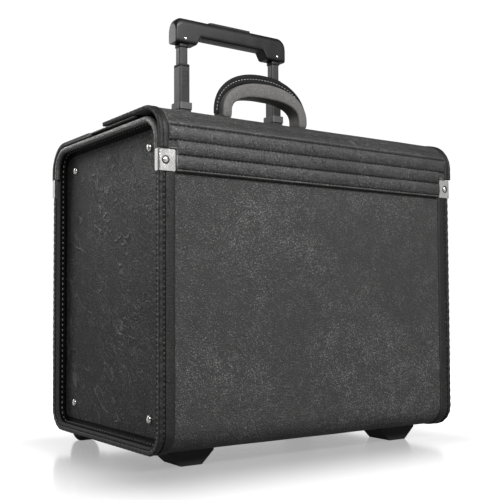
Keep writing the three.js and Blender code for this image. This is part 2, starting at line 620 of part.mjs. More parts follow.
// One long plate on the deck, round both legs.
function trolleyBezel() {
  const bottom = DECK_CORNER_Z + DECK_OUTER_RADIUS + FIT_GAP;
  const plate = alongZ(roundedRectangle(2 * TROLLEY_X + 38, 36, 6, 0, TROLLEY_Y), bottom, bottom + 3);
  const wide = CHANNEL.wide + 2 * FIT_GAP;
  const deep = CHANNEL.deep + 2 * FIT_GAP;
  const holes = Object.values(SIDES).map((side) => trolleyOpening(side, wide, deep, bottom - 1, bottom + 4));
  return cut(plate, ...holes);
}

const LOWER_FRONT_Y = TROLLEY_Y - LOWER_TUBE.deep / 2;
const LOWER_WALL = (LOWER_TUBE.deep - LOWER_TUBE.innerDeep) / 2;

function lockButtonBlock(side, z, size, frontY, backY) {
  const x = side * TROLLEY_X;
  return block(x - size / 2, x + size / 2, frontY, backY, z - size / 2, z + size / 2);
}

function lowerTube(side) {
  const size = LOCK_BUTTON_SIZE + 2 * FIT_GAP;
  const frontY = LOWER_FRONT_Y - 1;
  const backY = LOWER_FRONT_Y + 0.7 * LOWER_WALL;
  const pockets = LOCK_BUTTON_Z.map((z) => lockButtonBlock(side, z, size, frontY, backY));
  const half = LOCK_BUTTON_SIZE / 4 + FIT_GAP;
  const x = side * TROLLEY_X;
  const link = block(x - half, x + half, LOWER_FRONT_Y + 0.5, backY, LOCK_BUTTON_Z[1], LOCK_BUTTON_Z[0]);
  return cut(squareTube(side, LOWER_TUBE), ...pockets, link);
}

// Two square detent buttons on one spring strip, let into a lower tube's front wall.
function stageLatch(side) {
  const backY = LOWER_FRONT_Y + 0.6 * LOWER_WALL;
  const buttons = LOCK_BUTTON_Z.map((z) => lockButtonBlock(side, z, LOCK_BUTTON_SIZE, LOWER_FRONT_Y + 0.1, backY));
  const half = LOCK_BUTTON_SIZE / 4;
  const stripY = [LOWER_FRONT_Y + 0.8, backY];
  const x = side * TROLLEY_X;
  const strip = block(x - half, x + half, ...stripY, LOCK_BUTTON_Z[1], LOCK_BUTTON_Z[0]);
  return join(...buttons, strip);
}

function gripOutline() {
  const { halfLength, top, underside, legBottom, legInnerX } = GRIP;
  const fillet = 9;
  const shoulder = 11;
  const shape = new THREE.Shape();
  shape.moveTo(-halfLength, legBottom);
  shape.lineTo(-legInnerX, legBottom);
  shape.lineTo(-legInnerX, underside - fillet / 2);
  shape.quadraticCurveTo(-legInnerX, underside, -legInnerX + fillet, underside);
  shape.lineTo(legInnerX - fillet, underside);
  shape.quadraticCurveTo(legInnerX, underside, legInnerX, underside - fillet / 2);
  shape.lineTo(legInnerX, legBottom);
  shape.lineTo(halfLength, legBottom);
  shape.lineTo(halfLength, top - shoulder);
  shape.absarc(halfLength - shoulder, top - shoulder, shoulder, 0, Math.PI / 2, false);
  shape.lineTo(-halfLength + shoulder, top);
  shape.absarc(-halfLength + shoulder, top - shoulder, shoulder, Math.PI / 2, Math.PI, false);
  return shape;
}

function trolleyGrip() {
  const body = alongY(gripOutline(), TROLLEY_Y - GRIP.deep / 2, TROLLEY_Y + GRIP.deep / 2, 5);
  const skirts = Object.values(SIDES).map((side) => {
    return trolleyOpening(side, UPPER_TUBE.wide + 2, UPPER_TUBE.deep + 2, GRIP.legBottom - 5, GRIP.legBottom + 1);
  });
  const sockets = Object.values(SIDES).map((side) => {
    const wide = UPPER_TUBE.wide + 2 * FIT_GAP;
    const deep = UPPER_TUBE.deep + 2 * FIT_GAP;
    return trolleyOpening(side, wide, deep, GRIP.legBottom - 10, UPPER_TUBE.top + FIT_GAP);
  });
  const halfLength = GRIP_BUTTON.length / 2 + FIT_GAP;
  const halfDeep = GRIP_BUTTON.deep / 2 + FIT_GAP;
  const wellZ = GRIP.top - GRIP_BUTTON_TRAVEL - 4.5;
  const wellY = [TROLLEY_Y - halfDeep, TROLLEY_Y + halfDeep];
  const well = block(-halfLength, halfLength, ...wellY, wellZ, GRIP.top + 1);
  return cut(join(body, ...skirts), ...sockets, well);
}

function gripButton() {
  const outline = roundedRectangle(GRIP_BUTTON.length, GRIP_BUTTON.deep, 4, 0, TROLLEY_Y);
  return alongZ(outline, GRIP.top - 4, GRIP.top + GRIP_BUTTON.proud);
}

// ---- Wheels and feet ----------------------------------------------------------------
function wheelHousing(side) {
  const inX = side * (WHEEL.x - HOUSING.halfWidth);
  const outX = side * (WHEEL.x + HOUSING.halfWidth);
  const box = block(inX, outX, HOUSING.front, HALF_DEPTH + 2, UNDERSIDE_Z - 2, HOUSING.top);
  const lip = alongX(shellRing(2.3, FIT_GAP, HOUSING.top + 12), inX - side * HOUSING.lip, outX + side * HOUSING.lip);
  const lipZone = block(inX - side * HOUSING.lip, outX + side * HOUSING.lip, HOUSING.front - 8, 2 * HALF_DEPTH, 0, HOUSING.top + 8);
  const wellX = [inX + side * HOUSING.wall, outX - side * HOUSING.wall];
  const well = block(...wellX, HOUSING.front + HOUSING.wall, 2 * HALF_DEPTH, -1, HOUSING.top - HOUSING.wall);
  const outerFace = alongX(shellRing(40, 1, 2 * SHELL_TOP_Z), inX - side, outX + side);
  const shoulder = cut(box, outerFace);
  const axleHole = rodAlongX(WHEEL.axleRadius + RUNNING_GAP, inX - side, outX + side, WHEEL.y, WHEEL.radius);
  return cut(join(shoulder, common(lip, lipZone)), well, axleHole);
}

function wheelAxle(side) {
  const inset = 0.2;
  const inX = side * (WHEEL.x - HOUSING.halfWidth + inset);
  const outX = side * (WHEEL.x + HOUSING.halfWidth - inset);
  return rodAlongX(WHEEL.axleRadius, inX, outX, WHEEL.y, WHEEL.radius);
}

// A ring turned about the wheel's axle, from its half profile of [radius, offset] points.
function turnedAboutAxle(side, profile, segments) {
  const points = profile.map(([radius, offset]) => new THREE.Vector2(radius, offset));
  points.push(points[0].clone());
  const ring = new THREE.LatheGeometry(points, segments);
  return ring.rotateZ(-side * Math.PI / 2).translate(side * WHEEL.x, WHEEL.y, WHEEL.radius);
}

function wheelTyre(side) {
  const half = WHEEL.wide / 2;
  const inner = WHEEL.hubRadius + FIT_GAP;
  const outer = WHEEL.radius;
  const profile = [[inner, -half], [outer - 3, -half], [outer - 0.8, -half + 1.2], [outer, -half + 3.5]];
  profile.push([outer, half - 3.5], [outer - 0.8, half - 1.2], [outer - 3, half], [inner, half]);
  return turnedAboutAxle(side, profile, 48);
}

function wheelHub(side) {
  const half = WHEEL.wide / 2;
  const bore = WHEEL.axleRadius + RUNNING_GAP;
  const rim = WHEEL.hubRadius;
  const profile = [[bore, -half - 0.4], [7, -half - 0.4], [7, -half + 2], [13.5, -half + 3], [14, -half + 0.4]];
  profile.push([rim, -half + 0.4], [rim, half - 0.4], [14, half - 0.4], [13.5, half - 3]);
  profile.push([7, half - 2], [7, half + 0.4], [bore, half + 0.4]);
  return turnedAboutAxle(side, profile, 40);
}

function frontFoot(side) {
  const top = UNDERSIDE_Z - FIT_GAP;
  const corners = [[FOOT.bottomIn, 0], [FOOT.bottomOut, 0], [FOOT.topOut, 15], [FOOT.topOut, top]];
  corners.push([FOOT.topIn, top], [FOOT.topIn, 15]);
  const shape = new THREE.Shape(corners.map(([x, z]) => new THREE.Vector2(side * x, z)));
  return alongY(shape, FOOT.front, FOOT.rear);
}

// ---- Assembly -----------------------------------------------------------------------
add("shell_band", shellBand(), blackLeather());
add("floor_board", floorBoard(), liningBoard());
add("rear_deck", rearDeck(), blackLeather());
add("tuck_flap", tuckFlap(), blackLeather());
add("front_lid", frontLid(), blackLeather());
add("lid_ribs", lidRibs(), blackLeather());
add("front_rib_strip", frontRibStrip(), blackLeather());
add("carry_handle", carryHandle(), bindingLeather());
add("trolley_base", trolleyBase(), blackPlastic());
add("trolley_bezel", trolleyBezel(), blackPlastic());
add("trolley_grip", trolleyGrip(), blackPlastic());
add("grip_button", gripButton(), blackPlastic());

for (const [name, side] of Object.entries(SIDES)) {
  add(`edge_binding_${name}`, edgeBinding(side), bindingLeather());
  add(`end_panel_${name}`, endPanel(side), blackLeather());
  add(`rim_bead_${name}`, rimBead(side), bindingLeather());
  add(`end_panel_stay_${name}`, endPanelStay(side), nickel());
  add(`bracket_front_${name}`, cornerBracket(side, -1), nickel());
  add(`bracket_rear_${name}`, cornerBracket(side, 1), nickel());
  add(`lid_binding_${name}`, lidBinding(side), bindingLeather());
  add(`handle_mount_${name}`, handleMount(side), nickel());
  add(`handle_pin_${name}`, handlePin(side), steel());
  add(`lock_body_${name}`, lockBody(side), nickel());
  DIAL_INDEXES.forEach((index) => add(`lock_dial_${name}_${index + 1}`, lockDial(side, index), steel()));
  add(`lock_slider_${name}`, lockSlider(side), nickel());
  add(`trolley_channel_${name}`, squareTube(side, CHANNEL), darkAluminium());
  add(`trolley_collar_${name}`, trolleyCollar(side), blackPlastic());
  add(`stage_latch_${name}`, stageLatch(side), blackPlastic());
  add(`lower_tube_${name}`, lowerTube(side), darkAluminium());
  add(`upper_tube_${name}`, squareTube(side, UPPER_TUBE), darkAluminium());
  add(`wheel_housing_${name}`, wheelHousing(side), blackPlastic());
  add(`wheel_axle_${name}`, wheelAxle(side), steel());
  add(`wheel_tyre_${name}`, wheelTyre(side), rubber());
  add(`wheel_hub_${name}`, wheelHub(side), blackPlastic());
  add(`front_foot_${name}`, frontFoot(side), blackPlastic());
}

// The row's origin is on the floor, midway between the ribs in front and the wheels behind.
assembly.position.y = -(FRONTMOST_Y + REARMOST_Y) / 2;

export default assembly;
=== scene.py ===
"""Looks of the pilot rolling flight case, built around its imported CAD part.

Metres, +X to the right along the front, +Y to the rear, +Z up, floor at z = 0. Lengths written in mm are
multiplied by MM. "Case coordinates" have y = 0 in the middle of the board shell.
"""
import math
import random

import bmesh
import bpy
from mathutils import Matrix, Vector, noise


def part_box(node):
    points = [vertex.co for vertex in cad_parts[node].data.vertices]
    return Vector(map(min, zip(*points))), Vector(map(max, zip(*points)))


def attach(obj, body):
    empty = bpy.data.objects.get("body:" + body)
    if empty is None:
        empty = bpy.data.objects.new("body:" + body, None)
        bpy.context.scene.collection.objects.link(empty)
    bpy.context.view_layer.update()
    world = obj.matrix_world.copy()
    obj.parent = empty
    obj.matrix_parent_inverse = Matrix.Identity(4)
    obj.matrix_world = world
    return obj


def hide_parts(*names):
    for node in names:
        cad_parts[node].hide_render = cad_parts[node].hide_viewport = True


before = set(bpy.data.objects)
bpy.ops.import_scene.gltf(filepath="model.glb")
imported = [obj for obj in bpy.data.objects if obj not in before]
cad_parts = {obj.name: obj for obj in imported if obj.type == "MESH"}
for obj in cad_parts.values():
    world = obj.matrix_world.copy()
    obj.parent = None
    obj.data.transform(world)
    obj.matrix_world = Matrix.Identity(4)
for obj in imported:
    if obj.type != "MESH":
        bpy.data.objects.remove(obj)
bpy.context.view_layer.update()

MM = 0.001
TAU = 2 * math.pi
SIDES = {"left": -1, "right": 1}
SHELL_LOW, SHELL_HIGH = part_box("shell_band")
CASE_Y = (SHELL_LOW.y + SHELL_HIGH.y) / 2 / MM  # the shell's middle, in the row frame


def low(node):
    """The node's lowest corner in mm, in case coordinates."""
    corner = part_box(node)[0] / MM
    return Vector((corner.x, corner.y - CASE_Y, corner.z))


def high(node):
    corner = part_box(node)[1] / MM
    return Vector((corner.x, corner.y - CASE_Y, corner.z))


def place(x, y, z):
    """A point in case coordinates, in mm, as metres in the row frame."""
    return Vector((x * MM, (y + CASE_Y) * MM, z * MM))


# ---- Materials -------------------------------------------------------------------------------------
class Shader:
    """A material's node tree, with short calls for the nodes that it needs."""

    def __init__(self, name, **constants):
        self.material = bpy.data.materials.new(name)
        self.material.use_nodes = True
        self.tree = self.material.node_tree
        self.nodes = self.tree.nodes
        self.shader = self.nodes["Principled BSDF"]
        for socket, value in constants.items():
            self.shader.inputs[socket.replace("_", " ")].default_value = value
        self.place = self.nodes.new("ShaderNodeTexCoord").outputs["Object"]

    def link(self, out, into):
        self.tree.links.new(out, into)
        return into

    def mapped(self, scale, turn=(0, 0, 0)):
        """The place turned first, then scaled, so a pattern can be drawn out along any direction."""
        turned = self.nodes.new("ShaderNodeMapping")
        turned.inputs["Rotation"].default_value = turn
        self.link(self.place, turned.inputs["Vector"])
        node = self.nodes.new("ShaderNodeMapping")
        node.inputs["Scale"].default_value = scale
        self.link(turned.outputs["Vector"], node.inputs["Vector"])
        return node.outputs["Vector"]

    def noise(self, scale, detail=3, rough=0.55, vector=None, kind="FBM", warp=0.0):
        node = self.nodes.new("ShaderNodeTexNoise")
        node.noise_type = kind
        node.inputs["Scale"].default_value = scale
        node.inputs["Detail"].default_value = detail
        node.inputs["Roughness"].default_value = rough
        node.inputs["Distortion"].default_value = warp
        self.link(vector or self.place, node.inputs["Vector"])
        return node.outputs["Fac"]

    def cells(self, scale, vector=None, feature="F1", out="Distance", randomness=1.0):
        node = self.nodes.new("ShaderNodeTexVoronoi")
        node.feature = feature
        node.inputs["Scale"].default_value = scale
        node.inputs["Randomness"].default_value = randomness
        self.link(vector or self.place, node.inputs["Vector"])
        return node.outputs[out]

    def warped(self, amount, scale, vector=None):
        """The place, pushed about by a noise."""
        node = self.nodes.new("ShaderNodeTexNoise")
        node.inputs["Scale"].default_value = scale
        node.inputs["Detail"].default_value = 2
        self.link(vector or self.place, node.inputs["Vector"])
        centred = self.nodes.new("ShaderNodeVectorMath")
        centred.operation = "SUBTRACT"
        centred.inputs[1].default_value = (0.5, 0.5, 0.5)
        self.link(node.outputs["Color"], centred.inputs[0])
        push = self.nodes.new("ShaderNodeVectorMath")
        push.operation = "MULTIPLY_ADD"
        push.inputs[1].default_value = (amount, amount, amount)
        self.link(centred.outputs[0], push.inputs[0])
        self.link(vector or self.place, push.inputs[2])
        return push.outputs[0]

    def ramp(self, value, low_in, high_in, low_out=0.0, high_out=1.0):
        node = self.nodes.new("ShaderNodeMapRange")
        node.interpolation_type = "SMOOTHSTEP"
        names = ("From Min", "From Max", "To Min", "To Max")
        for name, number in zip(names, (low_in, high_in, low_out, high_out)):
            node.inputs[name].default_value = number
        self.link(value, node.inputs["Value"])
        return node.outputs["Result"]

    def math(self, operation, first, second):
        node = self.nodes.new("ShaderNodeMath")
        node.operation = operation
        for socket, value in zip(node.inputs, (first, second)):
            if isinstance(value, (int, float)):
                socket.default_value = value
            else:
                self.link(value, socket)
        return node.outputs[0]

    def blend(self, factor, dark, light):
        """A colour between two, each a tuple or another node's colour."""
        node = self.nodes.new("ShaderNodeMix")
        node.data_type = "RGBA"
        self.link(factor, node.inputs[0])
        for socket, value in ((node.inputs[6], dark), (node.inputs[7], light)):
            if isinstance(value, tuple):
                socket.default_value = (*value, 1)
            else:
                self.link(value, socket)
        return node.outputs[2]

    def worn_edge(self, start=0.52, end=0.66):
        """1 where the surface is sharp and outward, so where it rubs."""
        geometry = self.nodes.new("ShaderNodeNewGeometry")
        return self.ramp(geometry.outputs["Pointiness"], start, end)

    def bump(self, height, distance, strength=1.0, under=None):
        node = self.nodes.new("ShaderNodeBump")
        node.inputs["Strength"].default_value = strength
        node.inputs["Distance"].default_value = distance
        self.link(height, node.inputs["Height"])
        if under is not None:
            self.link(under, node.inputs["Normal"])
        return node.outputs["Normal"]

    def finish(self, colour=None, roughness=None, normal=None):
        if colour is not None:
            self.link(colour, self.shader.inputs["Base Color"])
        if roughness is not None:
            self.link(roughness, self.shader.inputs["Roughness"])
        if normal is not None:
            self.link(normal, self.shader.inputs["Normal"])
        return self.material


def grey(value, warm=0.0):
    return (value * (1 + warm), value, value * (1 - warm))


def leather(
    name, dark, light, rough=(0.46, 0.60), grain=400, grain_depth=0.00042, crease=1.0, turn=(0.2, 0.6, 0.0),
    gloss=0.30, fold=1.0
):
    """Coated split leather: fine pebbles, short wrinkles, long creases, and sharp outward edges paler where
    they rub. Its colour also carries painted light: a painted shade in the grain's low spots and a painted
    highlight on its high spots and along the creases.

    rough is the roughness of the high and the low spots, and grain the pebbles per metre.
    """
    s = Shader(name, Specular_IOR_Level=gloss)
    pebble = s.ramp(s.cells(grain, s.warped(0.0030, 260), "DISTANCE_TO_EDGE"), 0.0, 0.30)
    fine = s.ramp(s.noise(1.15 * grain, 3, 0.65), 0.34, 0.66)
    stretched = s.mapped((1, 1, 0.40), turn)
    calm = s.ramp(s.noise(7, 2, 0.5), 0.35, 0.65, 0.45, 1.0)

    def folds(scale, warp, sharp, vector):
        """Meandering lines along the middle level of a noise."""
        field = s.noise(scale, 2, 0.5, s.warped(warp, 1.7 * scale, vector))
        ridge = s.math("ABSOLUTE", s.math("SUBTRACT", field, 0.5), 0.0)
        return s.ramp(ridge, 0.0, sharp, 1.0, 0.0)

    patches = s.ramp(s.noise(13, 3, 0.6), 0.34, 0.60)
    long_folds = s.math("MULTIPLY", folds(30, 0.010, 0.008 * fold, stretched), patches)
    short_patches = s.ramp(s.noise(23, 3, 0.6), 0.36, 0.60)
    short_folds = s.math("MULTIPLY", folds(120, 0.003, 0.024 * fold, stretched), short_patches)
    lines = s.math("MULTIPLY", s.math("ADD", long_folds, s.math("MULTIPLY", short_folds, 0.55)), crease)
    mottling = s.ramp(s.noise(60, 5, 0.65), 0.3, 0.7)
    # Painted light: the tone follows the relief, so the grain's low spots are a painted shade and its high
    # spots and the creases (lines) a painted highlight, over the grain's own mottled tone.
    tone = s.math("MULTIPLY", pebble, 0.32)
    tone = s.math("ADD", tone, s.math("MULTIPLY", s.math("MULTIPLY", fine, calm), 0.34))
    tone = s.math("ADD", tone, s.math("MULTIPLY", mottling, 0.16))
    tone = s.math("ADD", tone, s.math("MULTIPLY", lines, 0.24))
    colour = s.blend(s.ramp(tone, 0.28, 1.0), dark, light)
    colour = s.blend(s.math("MULTIPLY", s.worn_edge(), 0.5), colour, tuple(2.2 * c for c in light))
    roughness = s.ramp(tone, 0.25, 0.95, rough[1], rough[0])
    height = s.math("ADD", s.math("MULTIPLY", pebble, 0.6), s.math("MULTIPLY", fine, 0.4))
    normal = s.bump(height, grain_depth)
    normal = s.bump(lines, 0.0009, 1.0, normal)
    normal = s.bump(s.noise(85, 4, 0.6, stretched), 0.0016, 0.6, normal)
    normal = s.bump(s.noise(20, 2, 0.5), 0.0022, 0.5, normal)
    return s.finish(colour, roughness, normal)


def metal(name, colour, rough, brushed, direction=(1, 1, 1), scratches=0.5):
    """Plated or anodised metal: fine draw lines, small scratches, duller marks where it is handled."""
    s = Shader(name, Metallic=1.0)
    lines = s.noise(900, 4, 0.7, s.mapped(direction))
    marks = s.cells(240, s.warped(0.004, 160, s.mapped((1, 1, 0.2), (0.4, 0.3, 0))), "DISTANCE_TO_EDGE")
    scratch = s.math("MULTIPLY", s.math("SUBTRACT", 1.0, s.ramp(marks, 0.0, 0.03)), scratches)
    stain = s.noise(70, 4, 0.6)
    tone = s.math("ADD", s.math("MULTIPLY", lines, 0.6), s.math("MULTIPLY", stain, 0.5))
    dull = tuple(0.82 * c for c in colour)
    bright = tuple(min(1.0, 1.1 * c) for c in colour)
    rubbed = tuple(min(1.0, 1.5 * c + 0.03) for c in colour)
    shade = s.blend(s.ramp(tone, 0.3, 0.8), dull, bright)
    shade = s.blend(s.math("MULTIPLY", s.worn_edge(), 0.45), shade, rubbed)
    roughness = s.ramp(s.math("ADD", tone, scratch), 0.3, 1.2, rough, rough + 0.18)
    normal = s.bump(s.math("SUBTRACT", lines, scratch), brushed, 0.7)
    return s.finish(shade, roughness, normal)


def plastic(name, dark, light, rough, grain=1400, depth=0.00006, coat=0.0, gloss=0.45):
    """Moulded plastic: spark-eroded texture, faint flow marks, scuffed pale edges."""
    s = Shader(name, Specular_IOR_Level=gloss, Coat_Weight=coat, Coat_Roughness=0.2)
    texture = s.noise(grain, 3, 0.6)
    flow = s.noise(40, 3, 0.5, s.mapped((1, 1, 0.5)))
    colour = s.blend(s.ramp(s.math("ADD", flow, s.math("MULTIPLY", texture, 0.4)), 0.4, 1.0), dark, light)
    colour = s.blend(s.math("MULTIPLY", s.worn_edge(), 0.5), colour, tuple(2.6 * c for c in light))
    roughness = s.ramp(s.math("ADD", flow, texture), 0.6, 1.4, rough, rough + 0.14)
    return s.finish(colour, roughness, s.bump(texture, depth))


def thread(name, dark, light):
    """Twisted polyester thread."""
    s = Shader(name, Roughness=0.75, Specular_IOR_Level=0.2)
    wave = s.nodes.new("ShaderNodeTexWave")
    wave.inputs["Scale"].default_value = 420
    wave.bands_direction = "DIAGONAL"
    s.link(s.place, wave.inputs["Vector"])
    colour = s.blend(wave.outputs["Fac"], dark, light)
    return s.finish(colour, None, s.bump(wave.outputs["Fac"], 0.00012))


def woven(name, dark, light):
    """Lining cloth: a plain weave glued to the board."""
    s = Shader(name, Roughness=0.9, Sheen_Weight=0.2, Specular_IOR_Level=0.25)
    waves = []
    for direction in ("X", "Y", "Z"):
        wave = s.nodes.new("ShaderNodeTexWave")
        wave.bands_direction = direction
        wave.inputs["Scale"].default_value = 260
        wave.inputs["Distortion"].default_value = 0.4
        s.link(s.place, wave.inputs["Vector"])
        waves.append(wave.outputs["Fac"])
    weave = s.math("MULTIPLY", s.math("ADD", s.math("ADD", waves[0], waves[1]), waves[2]), 0.33)
    fuzz = s.noise(180, 4, 0.6)
    colour = s.blend(s.ramp(s.math("ADD", weave, s.math("MULTIPLY", fuzz, 0.5)), 0.4, 1.1), dark, light)
    return s.finish(colour, None, s.bump(weave, 0.0002))


def rubber(name, dark, light):
    s = Shader(name, Specular_IOR_Level=0.15)
    dust = s.noise(160, 5, 0.65)
    fine = s.noise(1500, 3, 0.6)
    colour = s.blend(s.ramp(dust, 0.4, 0.75), dark, light)
    roughness = s.ramp(dust, 0.3, 0.8, 0.6, 0.85)
    return s.finish(colour, roughness, s.bump(fine, 0.00006))


BLACK_LEATHER = leather(
    "black_leather", grey(0.020, 0.01), grey(0.135, 0.01), (0.46, 0.60), 400, 0.00055, 0.45
)
# The strong creases (crease 1.9, fold 2.0) also paint pale lines along the end panel, a painted highlight for
# its relief.
PANEL_LEATHER = leather(
    "panel_leather", grey(0.003, 0.02), grey(0.150, 0.02), (0.34, 0.48), 340, 0.00080, 1.9, (0.8, 0.0, 0.0),
    0.5, 2.0
)
RIB_LEATHER = leather(
    "rib_leather", grey(0.014, 0.01), grey(0.120, 0.01), (0.38, 0.50), 420, 0.00036, 0.7, (0.2, 0.6, 0.0),
    0.45
)
BINDING = leather("binding_leather", grey(0.005, 0.03), grey(0.026, 0.02), (0.44, 0.56), 420, 0.00024, 0.4)
# Paler copy of the black leather for rolled edges and the hem's lower edge: a painted highlight line.
ROLLED_EDGE_PAINTED_HIGHLIGHT = leather(
    "rolled_edge_painted_highlight_leather", grey(0.020, 0.03), grey(0.190, 0.02), (0.38, 0.50), 380, 0.00045, 0.4,
    (0.2, 0.6, 0.0), 0.45
)
# The bead's colour, paler than the black leather, is a painted sheen.
BEAD_SHEEN_LEATHER = leather(
    "bead_painted_sheen_leather", grey(0.060, 0.03), grey(0.250, 0.02), (0.24, 0.36), 380, 0.00040, 0.4, (0.2, 0.6, 0.0),
    0.8
)
HANDLE_LEATHER = leather(
    "handle_leather", grey(0.075, 0.03), grey(0.150, 0.02), (0.46, 0.58), 420, 0.00022, 0.3
)
# Near-black leather for the end panel's flange and tray wall: a painted shade in the recess under the rim.
FLANGE_SHADE_LEATHER = leather(
    "flange_painted_shade_leather", grey(0.001, 0.03), grey(0.007, 0.02), (0.50, 0.60), 400, 0.0002, 0.2, (0.2, 0.6, 0.0),
    0.10
)
# Near-black leather: the handle's welt, and a painted shade in the edge binding's stitched groove.
WELT_AND_GROOVE_SHADE_LEATHER = leather(
    "welt_and_groove_shade_leather", grey(0.001, 0.03), grey(0.008, 0.02), (0.50, 0.60), 400, 0.0002, 0.2, (0.2, 0.6, 0.0),
    0.15
)
BLACK_THREAD = thread("black_thread", grey(0.0015), grey(0.006))
PALE_THREAD = thread("grey_thread", grey(0.26), grey(0.50))
LINING = woven("lining_cloth", grey(0.022), grey(0.060))
NICKEL = metal("nickel_plate", (0.80, 0.79, 0.78), 0.20, 0.00002, (1, 1, 3))
STEEL = metal("plain_steel", (0.52, 0.52, 0.53), 0.30, 0.00003, (3, 1, 1))
DIAL_AND_DARK_RING = metal("blackened_brass_and_painted_dark_ring", (0.03, 0.029, 0.028), 0.36, 0.00008, (4, 0.3, 0.3))
ANODISED = plastic("black_anodised_aluminium", grey(0.010), grey(0.025), 0.34, 900, 0.00003, 0.0, 0.25)
MOULDED = plastic("moulded_plastic", grey(0.003), grey(0.009), 0.42, 1400, 0.00006, 0.0, 0.25)
GRIP = plastic("grip_plastic", grey(0.004), grey(0.010), 0.36, 1100, 0.00007, 0.05, 0.28)
COLLAR = plastic("collar_plastic", grey(0.022), grey(0.040), 0.44)
FOOT = plastic("foot_plastic", grey(0.004), grey(0.011), 0.50, 900, 0.0001, 0.0, 0.15)
RUBBER = rubber("wheel_rubber", grey(0.006), grey(0.018))


# ---- Mesh helpers ----------------------------------------------------------------------------------
def make(name, verts, faces, materials, body, replaces=(), indexes=None, smooth=True):
    """A piece from points in metres. It rides on body and stands for the CAD nodes in replaces."""
    mesh = bpy.data.meshes.new(name)
    mesh.from_pydata([tuple(v) for v in verts], [], faces)
    for one in materials:
        mesh.materials.append(one)
    if indexes:
        mesh.polygons.foreach_set("material_index", indexes)
    work = bmesh.new()
    work.from_mesh(mesh)
    bmesh.ops.recalc_face_normals(work, faces=work.faces)
    work.to_mesh(mesh)
    work.free()
    if smooth:
        mesh.polygons.foreach_set("use_smooth", [True] * len(mesh.polygons))
    piece = bpy.data.objects.new(name, mesh)
    bpy.context.scene.collection.objects.link(piece)
    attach(piece, body)
    if replaces:
        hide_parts(*replaces)
    return piece


def soften(piece, width, segments=3, angle=40):
    """Rounds the piece's hard edges. Width in mm."""
    bevel = piece.modifiers.new("rounded_edges", "BEVEL")
    bevel.width = width * MM
    bevel.segments = segments
    bevel.limit_method = "ANGLE"
    bevel.angle_limit = math.radians(angle)
    bevel.harden_normals = False
    normals = piece.modifiers.new("even_normals", "WEIGHTED_NORMAL")
    normals.keep_sharp = True
    return piece


def apply_modifiers(piece):
    """Bakes the modifiers into the mesh."""
    graph = bpy.context.evaluated_depsgraph_get()
    baked = bpy.data.meshes.new_from_object(piece.evaluated_get(graph))
    piece.modifiers.clear()
    piece.data = baked
    return piece


def loft(rings, closed_ring=True, closed_path=False, cap=True):
    """Points and faces through rings of equal length."""
    count = len(rings[0])
    verts = [v for ring in rings for v in ring]
    faces = []
    last = len(rings) if closed_path else len(rings) - 1
    around = count if closed_ring else count - 1
    for i in range(last):
        a, b = i * count, ((i + 1) % len(rings)) * count
        for j in range(around):
            k = (j + 1) % count
            faces.append((a + j, a + k, b + k, b + j))
    if cap and closed_ring and not closed_path:
        faces.append(tuple(range(count)))
        faces.append(tuple(range((len(rings) - 1) * count, len(rings) * count)))
    return verts, faces


def rounded_bar(half_a, half_b, power, count):
    """A superellipse of count points, from (half_a, 0)."""
    points = []
    for i in range(count):
        t = TAU * i / count
        c, s = math.cos(t), math.sin(t)
        x = half_a * math.copysign(abs(c) ** (2 / power), c)
        points.append((x, half_b * math.copysign(abs(s) ** (2 / power), s)))
    return points


class Track:
    """A line in the (y, z) plane made of straights and arcs, walked at an even step."""

    def __init__(self, *parts):
        self.parts = []
        self.length = 0.0
        for part in parts:
            if part[0] == "line":
                (ay, az), (by, bz) = part[1], part[2]
                size = math.hypot(by - ay, bz - az)
            else:
                size = abs(math.radians(part[4] - part[3])) * part[2]
            self.parts.append((self.length, size, part))
            self.length += size

    def at(self, s):
        """(y, z, outward y, outward z) at a distance s along the track."""
        s = min(max(s, 0.0), self.length)
        for start, size, part in self.parts:
            if s <= start + size + 1e-9 or part is self.parts[-1][2]:
                break
        share = (s - start) / size
        if part[0] == "line":
            (ay, az), (by, bz), (ny, nz) = part[1], part[2], part[3]
            return ay + (by - ay) * share, az + (bz - az) * share, ny, nz
        (cy, cz), radius = part[1], part[2]
        angle = math.radians(part[3] + (part[4] - part[3]) * share)
        ny, nz = math.cos(angle), math.sin(angle)
        return cy + radius * ny, cz + radius * nz, ny, nz

    def walk(self, step, s0=0.0, s1=None):
        s1 = self.length if s1 is None else s1
        count = max(2, round((s1 - s0) / step))
        return [s0 + (s1 - s0) * i / count for i in range(count + 1)]


def swept(track, places, section):
    """Rings along a track: section(s) gives [(x, out)] at s, with out measured outwards from the track."""
    rings = []
    for s in places:
        y, z, ny, nz = track.at(s)
        rings.append([place(x, y + ny * out, z + nz * out) for x, out in section(s)])
    return loft(rings)


def slab(track, places, xs, outer, inner):
    """A bent board: outer(x, s) and inner(x, s) are offsets from the track.

    Returns points, faces and face kinds: 0 for the outer face and the edges, 1 for the inner face.
    """
    verts, faces, kinds = [], [], []
    rows, columns = len(places), len(xs)
    for layer in (outer, inner):
        for s in places:
            y, z, ny, nz = track.at(s)
            verts += [place(x, y + ny * layer(x, s), z + nz * layer(x, s)) for x in xs]
    under = rows * columns
    for i in range(rows - 1):
        for j in range(columns - 1):
            a = i * columns + j
            quad = (a, a + 1, a + columns + 1, a + columns)
            faces.append(quad)
            faces.append(tuple(under + k for k in reversed(quad)))
            kinds += [0, 1]
    for i in range(rows - 1):
        for j in (0, columns - 1):
            a = i * columns + j
            faces.append((a, a + columns, under + a + columns, under + a))
            kinds.append(0)
    for j in range(columns - 1):
        for i in (0, rows - 1):
            a = i * columns + j
            faces.append((a, a + 1, under + a + 1, under + a))
            kinds.append(0)
    return verts, faces, kinds


